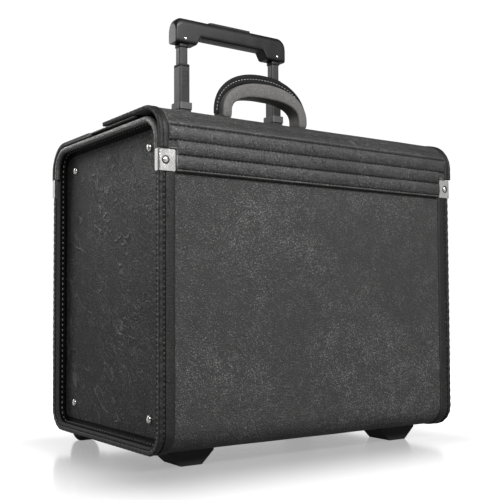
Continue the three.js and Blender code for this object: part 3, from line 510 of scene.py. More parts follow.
def capsule(verts, faces, start, end, radius, up, sides=6):
    """Adds one short thread, from start to end, flattened a little along up."""
    along = end - start
    size = along.length
    along = along.normalized()
    across = along.cross(up).normalized()
    lift = across.cross(along)
    base = len(verts)
    profile = ((0.0, 0.25), (0.12, 0.8), (0.3, 1.0), (0.7, 1.0), (0.88, 0.8), (1.0, 0.25))
    for share, wide in profile:
        arch = 0.35 * radius * math.sin(math.pi * share)
        centre = start + along * size * share + lift * arch
        for k in range(sides):
            t = TAU * k / sides
            ring_place = across * radius * wide * math.cos(t) + lift * radius * 0.8 * wide * math.sin(t)
            verts.append(centre + ring_place)
    rings = len(profile)
    for i in range(rings - 1):
        for k in range(sides):
            a, b = base + i * sides + k, base + i * sides + (k + 1) % sides
            faces.append((a, b, b + sides, a + sides))
    faces.append(tuple(base + k for k in range(sides)))
    faces.append(tuple(base + (rings - 1) * sides + k for k in range(sides)))


def stitches(name, points, body, material, length=4.0, radius=0.42, seed=1):
    """A row of threads. points are (place, direction, up), one for each stitch."""
    draw = random.Random(seed)
    verts, faces = [], []
    for centre, along, up in points:
        skew = along.cross(up).normalized() * draw.uniform(-0.06, 0.06)
        way = (along.normalized() + skew).normalized()
        half = length * MM / 2 * draw.uniform(0.93, 1.05)
        capsule(verts, faces, centre - way * half, centre + way * half, radius * MM, up)
    return make(name, verts, faces, [material], body)


def fit_pitch(length, pitch):
    """The pitch nearest to the one given that divides the length into whole stitches."""
    return length / max(1, round(length / pitch))


def track_row(track, pitch, x, out, up, start=0.0, first=-1.0, last=math.inf):
    """Stitch places along a track, at x and lifted by out. up(ny, nz) is the face's outward direction."""
    points = []
    for i in range(round((track.length - start) / pitch)):
        s = start + (i + 0.5) * pitch
        if first < s < last:
            y, z, ny, nz = track.at(s)
            points.append((place(x, y + ny * out, z + nz * out), Vector((0, -nz, ny)), Vector(up(ny, nz))))
    return points


def moulding(name, half, columns, outline, material, body, replaces=()):
    """A strip along X from -half to half. outline(x) gives its section there as (y, z) points."""
    rings = []
    for i in range(columns + 1):
        x = -half + 2 * half * i / columns
        rings.append([place(x, y, z) for y, z in outline(x)])
    verts, faces = loft(rings)
    return make(name, verts, faces, [material], body, replaces)


def joined(parts):
    """The points and faces of several closed parts as one mesh."""
    verts, faces = [], []
    for more, more_faces in parts:
        faces += [tuple(len(verts) + i for i in face) for face in more_faces]
        verts += more
    return verts, faces


# ---- Outlines of the case --------------------------------------------------------------------------
HALF_DEPTH = (SHELL_HIGH.y - SHELL_LOW.y) / 2 / MM
BOARD_X = SHELL_HIGH.x / MM
SHELL_TOP = SHELL_HIGH.z / MM
UNDERSIDE = SHELL_LOW.z / MM
CORNER = 26.0  # radius of the shell's lower corners
BOARD = 7.0

U_CORNER_Y, U_CORNER_Z = HALF_DEPTH - CORNER, UNDERSIDE + CORNER
U_TRACK = Track(
    ("line", (HALF_DEPTH, SHELL_TOP), (HALF_DEPTH, U_CORNER_Z), (1, 0)),
    ("arc", (U_CORNER_Y, U_CORNER_Z), CORNER, 0, -90),
    ("line", (U_CORNER_Y, UNDERSIDE), (-U_CORNER_Y, UNDERSIDE), (0, -1)),
    ("arc", (-U_CORNER_Y, U_CORNER_Z), CORNER, -90, -180),
    ("line", (-HALF_DEPTH, U_CORNER_Z), (-HALF_DEPTH, SHELL_TOP), (-1, 0)),
)

LID_Y, LID_Z, LID_R = -109.0, 361.0, 35.5  # the lid's curved corner
LID_BOARD = 4.0
LID_X = high("front_lid").x
LID_EDGE_Y = high("front_lid").y
LID_LOW_Z = low("front_lid").z
LID_TRACK = Track(
    ("line", (LID_Y - LID_R, LID_LOW_Z), (LID_Y - LID_R, LID_Z), (-1, 0)),
    ("arc", (LID_Y, LID_Z), LID_R, 180, 90),
    ("line", (LID_Y, LID_Z + LID_R), (LID_EDGE_Y, LID_Z + LID_R), (0, 1)),
)

DECK_Y, DECK_Z, DECK_R = 109.0, 355.0, 36.6  # the rear deck's curved corner
DECK_FRONT_Y = low("rear_deck").y
DECK_LOW_Z = SHELL_TOP + 0.6
DECK_TRACK = Track(
    ("line", (DECK_FRONT_Y, DECK_Z + DECK_R), (DECK_Y, DECK_Z + DECK_R), (0, 1)),
    ("arc", (DECK_Y, DECK_Z), DECK_R, 90, 0),
    ("line", (DECK_Y + DECK_R, DECK_Z), (DECK_Y + DECK_R, DECK_LOW_Z), (1, 0)),
)

PANEL_LOW, PANEL_HIGH = low("end_panel_right"), high("end_panel_right")
PANEL_SIDE = PANEL_HIGH.y
PANEL_BOTTOM, PANEL_TOP = PANEL_LOW.z, PANEL_HIGH.z
PANEL_LOW_R, PANEL_HIGH_R = 18.7, 26.0
PANEL_X = 212.0  # the recessed face
FLANGE_X = PANEL_HIGH.x


def panel_track(offset):
    """The end panel's outline moved outwards by offset, as one closed track from the bottom's middle."""
    side, bottom, top = PANEL_SIDE + offset, PANEL_BOTTOM - offset, PANEL_TOP + offset
    lo_r, hi_r = max(2.0, PANEL_LOW_R + offset), max(2.0, PANEL_HIGH_R + offset)
    return Track(
        ("line", (0, bottom), (side - lo_r, bottom), (0, -1)),
        ("arc", (side - lo_r, bottom + lo_r), lo_r, -90, 0),
        ("line", (side, bottom + lo_r), (side, top - hi_r), (1, 0)),
        ("arc", (side - hi_r, top - hi_r), hi_r, 0, 90),
        ("line", (side - hi_r, top), (-side + hi_r, top), (0, 1)),
        ("arc", (-side + hi_r, top - hi_r), hi_r, 90, 180),
        ("line", (-side, top - hi_r), (-side, bottom + lo_r), (-1, 0)),
        ("arc", (-side + lo_r, bottom + lo_r), lo_r, 180, 270),
        ("line", (-side + lo_r, bottom), (0, bottom), (0, -1)),
    )


def ripple(x, s, scale, seed):
    """A soft unevenness between -1 and 1."""
    return noise.noise(Vector((x / scale, s / scale, seed)))


# ---- Board shell -----------------------------------------------------------------------------------
def cut_boxes(piece, boxes):
    """Takes boxes, given as lowest and highest corners in mm, out of a piece."""
    for number, (a, b) in enumerate(boxes):
        mesh = bpy.data.meshes.new("cutter")
        work = bmesh.new()
        bmesh.ops.create_cube(work, size=1.0)
        for v in work.verts:
            v.co = place(*[a[i] if v.co[i] < 0 else b[i] for i in range(3)])
        work.to_mesh(mesh)
        work.free()
        cutter = bpy.data.objects.new(f"cutter_{number}", mesh)
        bpy.context.scene.collection.objects.link(cutter)
        hole = piece.modifiers.new("hole", "BOOLEAN")
        hole.object = cutter
        hole.operation = "DIFFERENCE"
        hole.solver = "EXACT"
        bpy.context.view_layer.update()
        apply_modifiers(piece)
        bpy.data.objects.remove(cutter)
    return piece


def board_shell():
    xs = [-BOARD_X + 2 * BOARD_X * i / 60 for i in range(61)]

    def outer(x, s):
        return 0.25 * ripple(x, s, 70, 3.1) * (1 if abs(x) < 190 else 0)

    verts, faces, kinds = slab(U_TRACK, U_TRACK.walk(7), xs, outer, lambda x, s: -BOARD)
    piece = make(
        "shell_leather", verts, faces, [BLACK_LEATHER, LINING], "case", ["shell_band"], kinds
    )
    notches = []
    for side in SIDES:
        a, b = low(f"wheel_housing_{side}"), high(f"wheel_housing_{side}")
        inner, outer_x = sorted((a.x, b.x))
        notches.append(((inner + 4.7, 95.7, -1), (outer_x - 4.7, 200, 60.3)))
    return cut_boxes(piece, notches)


board_shell()

STITCH_PITCH = 5.4
BINDING_IN = 20.0
GROOVE_IN = 6.85  # the stitch line, from the binding's outer edge
EDGE_X = high("edge_binding_right").x
PUCKER = 9.5


def edge_section(side, s, pitch):
    """The binding's section at s: a strip on the face, a stitched groove, a rolled edge, the board's end."""
    pull = 0.5 + 0.5 * math.cos(TAU * s / pitch)
    swell = 0.5 + 0.5 * math.sin(TAU * s / PUCKER + 1.3 * ripple(0, s, 30, 5))
    wave = 0.25 * ripple(side, s, 14, 9)
    deep = 0.35 + 0.35 * pull
    roll = 1.45 + 0.35 * swell
    edge = EDGE_X - 0.25 + 0.25 * swell
    start = EDGE_X - BINDING_IN
    points = [
        (start, -0.2), (start - 0.1 + wave, 0.75), (start + 0.9 + wave, 1.30),
        (EDGE_X - 16, 1.45 + 0.1 * wave), (EDGE_X - 12, 1.50), (EDGE_X - 9.2, 1.50), (EDGE_X - 8.3, 1.25),
        (EDGE_X - 7.7, 0.05 - deep), (EDGE_X - 6.0, 0.05 - deep), (EDGE_X - 5.3, roll - 0.3),
        (EDGE_X - 4.0, roll), (EDGE_X - 2.2, roll + 0.05), (edge - 0.8, roll - 0.45),
        (edge - 0.1, roll - 1.4), (edge + 0.1, -0.6), (edge - 0.25 * pull, -2.4),
        (edge - 0.5 - 0.3 * pull, -3.4), (edge - 0.2 * pull, -4.4), (edge, -5.8), (edge - 0.4, -6.6),
        (edge - 1.2, -7.0), (BOARD_X + 0.1, -7.0), (BOARD_X + 0.1, -0.4),
    ]
    return [(side * x, out) for x, out in points]


def edge_binding(name, side):
    pitch = fit_pitch(U_TRACK.length, STITCH_PITCH)
    top = 24.3  # the bracket's seat

    places = [s for s in U_TRACK.walk(pitch / 5) if top + 0.4 < s < U_TRACK.length - top - 0.4]
    places = [top] + places + [U_TRACK.length - top]
    verts, faces = swept(U_TRACK, places, lambda s: edge_section(side, s, pitch))
    ring = len(edge_section(side, 0, pitch))
    # Faces 6 to 8, the stitched groove, get the near-black welt leather, a painted shade; faces 13 to 16, the
    # roll's outer side, get the paler rolled-edge leather, a painted highlight.
    kinds = [2 if 6 <= i % ring <= 8 else 1 if 13 <= i % ring <= 16 else 0 for i in range(len(faces))]
    leathers = [BINDING, ROLLED_EDGE_PAINTED_HIGHLIGHT, WELT_AND_GROOVE_SHADE_LEATHER]
    make(
        f"edge_binding_leather_{name}", verts, faces, leathers, "case",
        [f"edge_binding_{name}"], kinds
    )

    ends = {"first": top + 3, "last": U_TRACK.length - top - 3}
    on_face = track_row(U_TRACK, pitch, side * (EDGE_X - GROOVE_IN), 0.30, lambda ny, nz: (0, ny, nz), **ends)
    stitches(f"edge_stitches_{name}", on_face, "case", BLACK_THREAD, 4.1, 0.60, 11)
    on_end = track_row(U_TRACK, pitch, side * (EDGE_X - 0.35), -3.4, lambda ny, nz: (side, 0, 0), **ends)
    stitches(f"edge_end_stitches_{name}", on_end, "case", PALE_THREAD, 2.6, 0.36, 12)


for side_name, side_sign in SIDES.items():
    edge_binding(side_name, side_sign)


# ---- End panels and their top bead -----------------------------------------------------------------
def end_panel(name, side):
    """A leather tray: the flange, a filleted wall and a slightly slack recessed face."""
    step_count = 260
    profile = [  # offset of the outline, x, and whether the leather is slack there
        (-0.6, FLANGE_X - 4, 0), (0, FLANGE_X - 0.6, 0), (-0.5, FLANGE_X, 0), (-1.5, FLANGE_X - 0.2, 0),
        (-1.9, FLANGE_X - 1, 0), (-1.9, 216.5, 0), (-2.0, 214.5, 0), (-2.5, 213.0, 0), (-3.6, 212.25, 0),
        (-5.2, PANEL_X, 0),
    ]
    flange_rows = len(profile)
    face_offsets = (8, 12, 17, 23, 30, 38, 47, 57, 68, 80, 92, 104, 114, 122, 128)
    profile += [(-offset, PANEL_X, 1) for offset in face_offsets]
    rings = []
    for offset, x, slack in profile:
        track = panel_track(offset)
        ring = []
        for i in range(step_count):
            y, z, _, _ = track.at(track.length * i / step_count)
            depth = x
            if slack:
                depth += 0.35 * ripple(y, z, 45, 2.0 + side) + 0.12 * ripple(y, z, 12, 6.0)
                for ry in (-98, 98):
                    for rz in (54, 354):
                        near = math.hypot(y - ry, z - rz)
                        depth -= 0.55 * math.exp(-((near / 9) ** 2))
            ring.append(place(side * depth, y, z))
        rings.append(ring)
    verts, faces = loft(rings, cap=False)
    faces.append(tuple(range((len(rings) - 1) * step_count, len(rings) * step_count)))
    back = side * 209.0
    behind = len(verts)
    track = panel_track(-0.6)
    for i in range(step_count):
        y, z, _, _ = track.at(track.length * i / step_count)
        verts.append(place(back, y, z))
    for j in range(step_count):
        k = (j + 1) % step_count
        faces.append((j, k, behind + k, behind + j))
    faces.append(tuple(range(behind, behind + step_count)))
    # The flange and the tray wall get the near-black flange leather, a painted shade in the recess.
    kinds = [2 if i < flange_rows * step_count else 0 for i in range(len(faces) - 1)] + [1]
    make(
        f"end_panel_leather_{name}", verts, faces, [PANEL_LEATHER, LINING, FLANGE_SHADE_LEATHER], "case",
        [f"end_panel_{name}"], kinds
    )

    inside = panel_track(-2.1)
    pitch = fit_pitch(inside.length, 6.8)
    points = track_row(inside, pitch, side * 215.4, 0, lambda ny, nz: (0, -ny, -nz))
    stitches(f"flange_stitches_{name}", points, "case", PALE_THREAD, 3.0, 0.42, 21)


def ring_dome(verts, faces, centre, out, radius, height, sides=28, washer=None):
    """Adds a domed rivet head with a shallow rolled ring round it."""
    out = out.normalized()
    first = out.orthogonal().normalized()
    second = out.cross(first)
    profile = [(1.0, -0.9), (1.0, 0.0), (0.97, 0.28), (0.88, 0.55), (0.72, 0.78), (0.5, 0.92), (0.26, 0.985)]
    if washer:
        profile = [
            (washer, -0.3), (washer, 0.0), (washer - 0.06, 0.10), (1.05, 0.10), (1.0, 0.02)
        ] + profile[2:]
    base = len(verts)
    for wide, up in profile:
        for k in range(sides):
            t = TAU * k / sides
            radial = first * math.cos(t) + second * math.sin(t)
            verts.append(centre + radial * radius * wide + out * height * up)
    for i in range(len(profile) - 1):
        for k in range(sides):
            a, b = base + i * sides + k, base + i * sides + (k + 1) % sides
            faces.append((a, b, b + sides, a + sides))
    faces.append(tuple(base + k for k in range(sides)))
    faces.append(tuple(base + (len(profile) - 1) * sides + k for k in range(sides)))


RIVET_PLACES = [(y, z) for z in (54, 354) for y in (-98, 98)]


def panel_rivets(name, side):
    verts, faces = [], []
    seats, seat_faces = [], []
    out = Vector((side, 0, 0))
    for y, z in RIVET_PLACES:
        ring_dome(verts, faces, place(side * 211.9, y, z), out, 4.7 * MM, 2.8 * MM)
        ring_dome(seats, seat_faces, place(side * 211.5, y, z), out, 5.0 * MM, 0.9 * MM, washer=1.36)
    make(f"panel_rivet_heads_{name}", verts, faces, [NICKEL], "case")
    make(f"panel_rivet_seats_{name}", seats, seat_faces, [MOULDED], "case")


BEAD_LOW_Z = low("rim_bead_right").z
BEAD_SIDE, BEAD_TOP = PANEL_SIDE, PANEL_TOP
BEAD_TRACK = Track(
    ("line", (-BEAD_SIDE, BEAD_LOW_Z), (-BEAD_SIDE, BEAD_TOP - PANEL_HIGH_R), (-1, 0)),
    ("arc", (-BEAD_SIDE + PANEL_HIGH_R, BEAD_TOP - PANEL_HIGH_R), PANEL_HIGH_R, 180, 90),
    ("line", (-BEAD_SIDE + PANEL_HIGH_R, BEAD_TOP), (BEAD_SIDE - PANEL_HIGH_R, BEAD_TOP), (0, 1)),
    ("arc", (BEAD_SIDE - PANEL_HIGH_R, BEAD_TOP - PANEL_HIGH_R), PANEL_HIGH_R, 90, 0),
    ("line", (BEAD_SIDE, BEAD_TOP - PANEL_HIGH_R), (BEAD_SIDE, BEAD_LOW_Z), (1, 0)),
)


def rim_bead(name, side):
    """A stuffed leather bead along the top rim of an end panel, gathered by its stitches."""
    pitch = fit_pitch(BEAD_TRACK.length, 6.2)
    outline = rounded_bar(3.45, 3.85, 2.5, 24)

    def section(s):
        pull = 0.5 + 0.5 * math.cos(TAU * s / pitch)
        fat = 1 - 0.045 * pull + 0.025 * ripple(side, s, 17, 4)
        return [(side * (222.5 + a * fat), 0.5 + b * fat) for a, b in outline]

    verts, faces = swept(BEAD_TRACK, BEAD_TRACK.walk(pitch / 5), section)
    bead = make(
        f"rim_bead_leather_{name}", verts, faces, [BEAD_SHEEN_LEATHER], "case",
        [f"rim_bead_{name}"]
    )
    points = track_row(BEAD_TRACK, pitch, side * 225.7, -1.2, lambda ny, nz: (side, 0, 0))
    stitches(f"rim_bead_stitches_{name}", points, "case", BLACK_THREAD, 3.2, 0.33, 31)


for side_name, side_sign in SIDES.items():
    end_panel(side_name, side_sign)
    panel_rivets(side_name, side_sign)
    rim_bead(side_name, side_sign)


# ---- Corner brackets -------------------------------------------------------------------------------
def bracket(name, side, end):
    """A bent nickel plate with rounded corners and a peened rivet. end is -1 in front and 1 behind."""
    label = f"bracket_{'front' if end < 0 else 'rear'}_{name}"
    a, b = low(label), high(label)
    bottom, top = a.z, b.z
    outer_x = max(abs(a.x), abs(b.x))
    inner_x = min(abs(a.x), abs(b.x))
    face = HALF_DEPTH + 2.5
    bend, thick = 2.2, 1.2
    flat = outer_x - inner_x - bend
    turn = math.pi / 2 * bend
    wrap = 8.5 - bend
    total = flat + turn + wrap
    corner = 2.0
    rows = []
    even = {round(total * i / 60, 4) for i in range(61)}
    near_start = {round(0.12 * i, 4) for i in range(18)}
    near_end = {round(total - 0.12 * i, 4) for i in range(18)}
    for s in sorted(even | near_start | near_end):
        if s <= flat:
            x, y, nx, ny = inner_x + s, face, 0.0, 1.0
        elif s <= flat + turn:
            t = (s - flat) / bend
            x, y = outer_x - bend + bend * math.sin(t), face - bend + bend * math.cos(t)
            nx, ny = math.sin(t), math.cos(t)
        else:
            x, y, nx, ny = outer_x, face - bend - (s - flat - turn), 1.0, 0.0
        near = min(s, total - s)
        trim = corner - math.sqrt(max(0.0, corner**2 - (corner - near) ** 2)) if near < corner else 0.0
        rows.append((x, y, nx, ny, bottom + trim, top - trim))
    verts, faces = [], []
    for x, y, nx, ny, z0, z1 in rows:
        for depth in (0.0, thick):
            for z in (z0, z1):
                verts.append(place(side * (x - nx * depth), end * (y - ny * depth), z))
    for i in range(len(rows) - 1):
        p, q = 4 * i, 4 * i + 4
        faces += [
            (p, q, q + 1, p + 1), (p + 2, p + 3, q + 3, q + 2), (p, p + 2, q + 2, q),
            (p + 1, q + 1, q + 3, p + 3)
        ]
    faces += [(0, 1, 3, 2), tuple(4 * (len(rows) - 1) + k for k in (0, 2, 3, 1))]
    plate = make(f"{label}_plate", verts, faces, [NICKEL], "case", [label])
    soften(plate, 0.28, 2, 50)
    verts, faces = [], []
    seat, seat_faces = [], []
    centre = place(side * 217.3, end * face, 333.8)
    out = Vector((0, end, 0))
    ring_dome(verts, faces, centre, out, 3.5 * MM, 1.5 * MM)
    # The dark metal ring round the rivet is a painted dark reflection.
    ring_dome(seat, seat_faces, centre - out * 0.1 * MM, out, 4.9 * MM, 0.45 * MM)
    make(f"{label}_rivet", verts, faces, [NICKEL], "case")
    make(f"{label}_rivet_dark_reflection_ring", seat, seat_faces, [DIAL_AND_DARK_RING], "case")


for side_name, side_sign in SIDES.items():
    for end_sign in (-1, 1):
        bracket(side_name, side_sign, end_sign)


# ---- Front lid, its ribs and bindings --------------------------------------------------------------
RIB_PITCH = 15.6
HINGE_Z = LID_LOW_Z - 0.3
RIB_FACE = LID_Y - LID_R - 0.1
SEAM_Z = [HINGE_Z - RIB_PITCH + 0.1, HINGE_Z, HINGE_Z + RIB_PITCH, HINGE_Z + 2 * RIB_PITCH]
RIB_PROUD = 2.5


def padded_rib(name, z0, z1, half, body, replaces, seed):
    """Leather padded between two seams, gathered at each stitch."""
    pitch = fit_pitch(2 * half, STITCH_PITCH)
    columns = round(2 * half / (pitch / 6))
    xs = [-half + 2 * half * i / columns for i in range(columns + 1)]
    steps = 14
    verts, faces = [], []

    def front(x, u):
        swell = math.sin(math.pi * min(max(u, 0), 1)) ** 0.55
        near = min(u, 1 - u) * (z1 - z0)
        gather = 0.5 + 0.5 * math.cos(TAU * x / pitch)
        pucker = 0.42 * gather * math.exp(-((near / 2.6) ** 2))
        pucker -= 0.25 * (1 - gather) * math.exp(-((near - 1.6) ** 2) / 2)
        end_fade = min(1.0, (half - abs(x)) / 2.5 + 0.1)
        loose = 0.16 * ripple(x, u * 20, 16, seed) + 0.10 * ripple(x, u * 20, 5, seed + 2)
        return (RIB_PROUD * swell + loose * swell) * (0.35 + 0.65 * end_fade) - 0.35 * pucker

    for x in xs:
        for i in range(steps + 1):
            u = i / steps
            z = z0 + (z1 - z0) * u
            verts.append(place(x, RIB_FACE - max(0.02, front(x, u)), z))
        verts.append(place(x, RIB_FACE + 0.05, z1))
        verts.append(place(x, RIB_FACE + 0.05, z0))
    ring = steps + 3
    for c in range(columns):
        for i in range(ring):
            k = (i + 1) % ring
            faces.append((c * ring + i, c * ring + k, (c + 1) * ring + k, (c + 1) * ring + i))
    faces.append(tuple(range(ring)))
    faces.append(tuple(range(columns * ring, (columns + 1) * ring)))
    pad = make(name, verts, faces, [RIB_LEATHER], body, replaces)
    return pad


def seam(name, z, half, body, y, seed, up=(0, -1, 0), slot="leather", radius=0.62):
    """A row of black stitches along X."""
    pitch = fit_pitch(2 * half, STITCH_PITCH)
    count = round(2 * half / pitch)
    points = [(place(-half + (i + 0.5) * pitch, y, z), Vector((1, 0, 0)), Vector(up)) for i in range(count)]
    return stitches(name, points, body, BLACK_THREAD, 4.0, radius, seed)


LONG_RIB, SHORT_RIB = 214.5, 203.8
padded_rib("lid_rib_upper", SEAM_Z[2], SEAM_Z[3], LONG_RIB, "front_lid", ["lid_ribs"], 1.0)
padded_rib("lid_rib_lower", SEAM_Z[1] + 0.15, SEAM_Z[2], SHORT_RIB, "front_lid", [], 2.0)
padded_rib(
    "front_strip_rib", SEAM_Z[0], SEAM_Z[1] - 0.15, SHORT_RIB, "case", ["front_rib_strip"], 3.0
)


def strip_hem():
    """The board under the lowest rib, with its rolled lower edge."""
    z0, z1 = low("front_rib_strip").z, HINGE_Z - 0.2
    back = -HALF_DEPTH - 0.05
    front = RIB_FACE

    def outline(x):
        wave = 0.12 * ripple(x, 0, 9, 12)
        return [
            (back, z1), (back, z0 + 0.6), (back - 1.0, z0), (front + 1.0, z0 + wave * 0.4),
            (front - 0.2 + wave, z0 + 0.7), (front - 0.3 + wave, z0 + 1.5), (front + 0.3, z0 + 2.3),
            (front + 0.1, z0 + 3.0), (front + 0.1, z1),
        ]

    # The hem takes the paler rolled-edge leather, a painted highlight along its lower edge.
    moulding("front_strip_board", SHORT_RIB, 200, outline, ROLLED_EDGE_PAINTED_HIGHLIGHT, "case")


strip_hem()
seam("seam_bottom", SEAM_Z[0] + 0.1, SHORT_RIB, "case", RIB_FACE - 0.25, 41)
seam("seam_hinge", SEAM_Z[1] - 0.7, SHORT_RIB, "case", RIB_FACE - 0.55, 42)
seam("seam_middle", SEAM_Z[2], LONG_RIB, "front_lid", RIB_FACE - 0.35, 43)


def front_lid():
    xs = [-LID_X + 2 * LID_X * i / 90 for i in range(91)]

    def outer(x, s):
        height = LID_LOW_Z + s
        flat = 0.22 * ripple(x, s, 60, 7.7) + 0.08 * ripple(x, s, 18, 1.2)
        if height < SEAM_Z[3] + 1.5:
            return -0.3 if abs(x) < LONG_RIB + 1 else -0.02
        fade = min(1.0, (height - SEAM_Z[3] - 1.5) / 4)
        return flat * fade * (1 if abs(x) < 214 else 0)

    verts, faces, kinds = slab(LID_TRACK, LID_TRACK.walk(4), xs, outer, lambda x, s: -LID_BOARD)
    lid = make(
        "lid_leather", verts, faces, [BLACK_LEATHER, LINING], "front_lid", ["front_lid"], kinds
    )
    zone = ((SHORT_RIB + 0.5, -200, 300), (240, -138, SHELL_TOP + 0.9))
    mirrored = ((-240, -200, 300), (-SHORT_RIB - 0.5, -138, SHELL_TOP + 0.9))
    cut_boxes(lid, [zone, mirrored])
    soften(lid, 1.3, 3, 55)
    seam("seam_top", SEAM_Z[3] - 0.1, LONG_RIB, "front_lid", RIB_FACE - 0.15, 44)


def lid_step():
    """The folded leather edge that closes the top of the ribs and lies on the lid's curve."""
    z0 = SEAM_Z[3]

    def outline(x):
        lift = 0.15 * (0.5 + 0.5 * math.cos(TAU * x / STITCH_PITCH))
        return [
            (-142.5, z0 - 1.5), (-144.0, z0 - 0.7), (-144.35, z0 + 0.1), (-145.0 + lift, z0 + 0.9),
            (-145.5 + lift, z0 + 2.0), (-145.3, z0 + 3.2), (-144.3, z0 + 4.7), (-142.6, z0 + 6.7),
            (-140.2, z0 + 9.2), (-137.6, z0 + 11.6), (-134.6, z0 + 13.9), (-131.9, z0 + 15.6),
            (-131.0, z0 + 14.6), (-136.5, z0 + 9.0), (-140.0, z0 + 2.0),
        ]

    moulding("lid_seam_fold", LONG_RIB, 480, outline, RIB_LEATHER, "front_lid")


def lid_free_edge():
    """The rolled binding along the lid's free rear edge."""
    y0, z0 = LID_EDGE_Y, LID_Z + LID_R
    half = 213
    pitch = fit_pitch(2 * half, STITCH_PITCH)

    def outline(x):
        pull = 0.5 + 0.5 * math.cos(TAU * x / pitch)
        return [
            (y0 - 11, z0 + 0.05), (y0 - 10.2, z0 + 0.62), (y0 - 6.5, z0 + 0.75),
            (y0 - 4.6, z0 + 0.55 - 0.3 * pull), (y0 - 3.2, z0 + 0.75), (y0 - 1.2, z0 + 0.55),
            (y0 - 0.2, z0 - 0.6), (y0 + 0.1, z0 - 2.2),
            (y0 - 0.5, z0 - 3.7), (y0 - 2.0, z0 - 4.15), (y0 - 8, z0 - 4.1), (y0 - 8, z0 - 1.0),
            (y0 - 11, z0 - 0.3),
        ]

    moulding("lid_free_edge_binding", half, 420, outline, BINDING, "front_lid")
    row = {"up": (0, 0, 1), "slot": "binding_leather", "radius": 0.42}
    seam("lid_free_edge_stitches", z0 + 0.55, half, "front_lid", y0 - 4.6, 45, **row)


def lid_binding(name, side):
    """Leather folded over the lid's end, with a stitch line."""
    start = SHELL_TOP + 0.9 - LID_LOW_Z
    pitch = fit_pitch(LID_TRACK.length - start, STITCH_PITCH)
    wide = 11.0

    def section(s):
        pull = 0.5 + 0.5 * math.cos(TAU * (s - start) / pitch)
        swell = 0.5 + 0.5 * math.sin(TAU * s / PUCKER)
        edge = 225.7 + 0.2 * swell
        top = 0.85 + 0.1 * swell
        points = [
            (226 - wide, 0.05), (226 - wide + 0.3, 0.5), (226 - wide + 1.2, 0.8), (219.0, 0.85), (220.4, 0.7),
            (221.2, 0.35 - 0.3 * pull), (222.0, 0.7), (223.4, top), (edge - 0.9, top - 0.2),
            (edge - 0.1, 0.3), (edge, -0.8), (edge - 0.1 - 0.15 * pull, -2.2), (edge - 0.3, -3.5),
            (edge - 0.9, -4.2), (LID_X + 0.15, -4.3), (LID_X + 0.15, 0.05),
        ]
        return [(side * x, out) for x, out in points]

    verts, faces = swept(LID_TRACK, LID_TRACK.walk(pitch / 5, start), section)
    make(
        f"lid_end_binding_{name}", verts, faces, [BINDING], "front_lid",
        [f"lid_binding_{name}"]
    )
    points = track_row(LID_TRACK, pitch, side * 221.2, 0.4, lambda ny, nz: (0, ny, nz), start)
    stitches(f"lid_end_stitches_{name}", points, "front_lid", BLACK_THREAD, 3.9, 0.4, 46)


front_lid()
lid_step()
lid_free_edge()
for side_name, side_sign in SIDES.items():
    lid_binding(side_name, side_sign)


# ---- Rear deck and tuck flap -----------------------------------------------------------------------
def rear_deck():
    xs = [-LID_X + 2 * LID_X * i / 80 for i in range(81)]

    def outer(x, s):
        return 0.15 * ripple(x, s, 60, 4.4) * (1 if abs(x) < 205 else 0)

    verts, faces, kinds = slab(DECK_TRACK, DECK_TRACK.walk(4), xs, outer, lambda x, s: -4.0)
    deck = make(
        "deck_leather", verts, faces, [BLACK_LEATHER, LINING], "case", ["rear_deck"], kinds
    )
    holes = []
    for side in SIDES:
        a, b = low(f"trolley_channel_{side}"), high(f"trolley_channel_{side}")
        holes.append(((a.x - 0.3, a.y - 0.3, 380), (b.x + 0.3, b.y + 0.3, 400)))
    cut_boxes(deck, holes)
    soften(deck, 1.2, 3, 55)
    pitch = fit_pitch(DECK_TRACK.length, STITCH_PITCH)
    for name, side in SIDES.items():
        points = track_row(DECK_TRACK, pitch, side * 218, 0.1, lambda ny, nz: (0, ny, nz))
        stitches(f"deck_end_stitches_{name}", points, "case", BLACK_THREAD, 4.0, 0.42, 51)
    z0, z1 = low("rear_deck").z, DECK_LOW_Z + 0.5
    y0, y1 = HALF_DEPTH + 0.3, DECK_Y + DECK_R

    def outline(x):
        wave = 0.15 * ripple(x, 3, 9, 12)
        return [
            (y0, z0 + 0.5), (HALF_DEPTH + 1.2, z0), (y1 - 1.2, z0), (y1 - 0.1 + wave, z0 + 1.0),
            (y1 + wave, z0 + 2.4), (y1 - 0.5, z0 + 4.2), (y1 - 0.2, z0 + 6.0), (y1, z1), (y0, z1),
        ]

    moulding("deck_hem", SHORT_RIB, 160, outline, BLACK_LEATHER, "case")
    seam("deck_hem_stitches", z0 + 4.2, SHORT_RIB, "case", y1 - 0.25, 52, (0, 1, 0), radius=0.45)


def tuck_flap():
    """A thin board with round edges, hinged on the rear deck's front edge and tucked under the lid."""
    a, b = low("tuck_flap"), high("tuck_flap")
    half_thick = (b.z - a.z) / 2
    middle_y, middle_z = (a.y + b.y) / 2, (a.z + b.z) / 2
    count = 60

    def outline(x):
        edge = min(1.0, (LID_X - abs(x)) / 1.6)
        shrink = 0.55 + 0.45 * math.sqrt(max(0.0, 1 - (1 - edge) ** 2))
        ring = []
        for k in range(count):
            t = TAU * k / count
            c, s = math.cos(t), math.sin(t)
            y = middle_y + ((b.y - a.y) / 2 - 0.2) * math.copysign(abs(c) ** (2 / 14), c)
            z = middle_z + half_thick * shrink * math.copysign(abs(s) ** (2 / 6), s) * 0.97
            ring.append((y, z + 0.05 * ripple(x, y, 30, 8) * (1 if s > 0 else 0)))
        return ring

    moulding("tuck_flap_leather", LID_X, 140, outline, BINDING, "tuck_flap", ["tuck_flap"])


rear_deck()
tuck_flap()


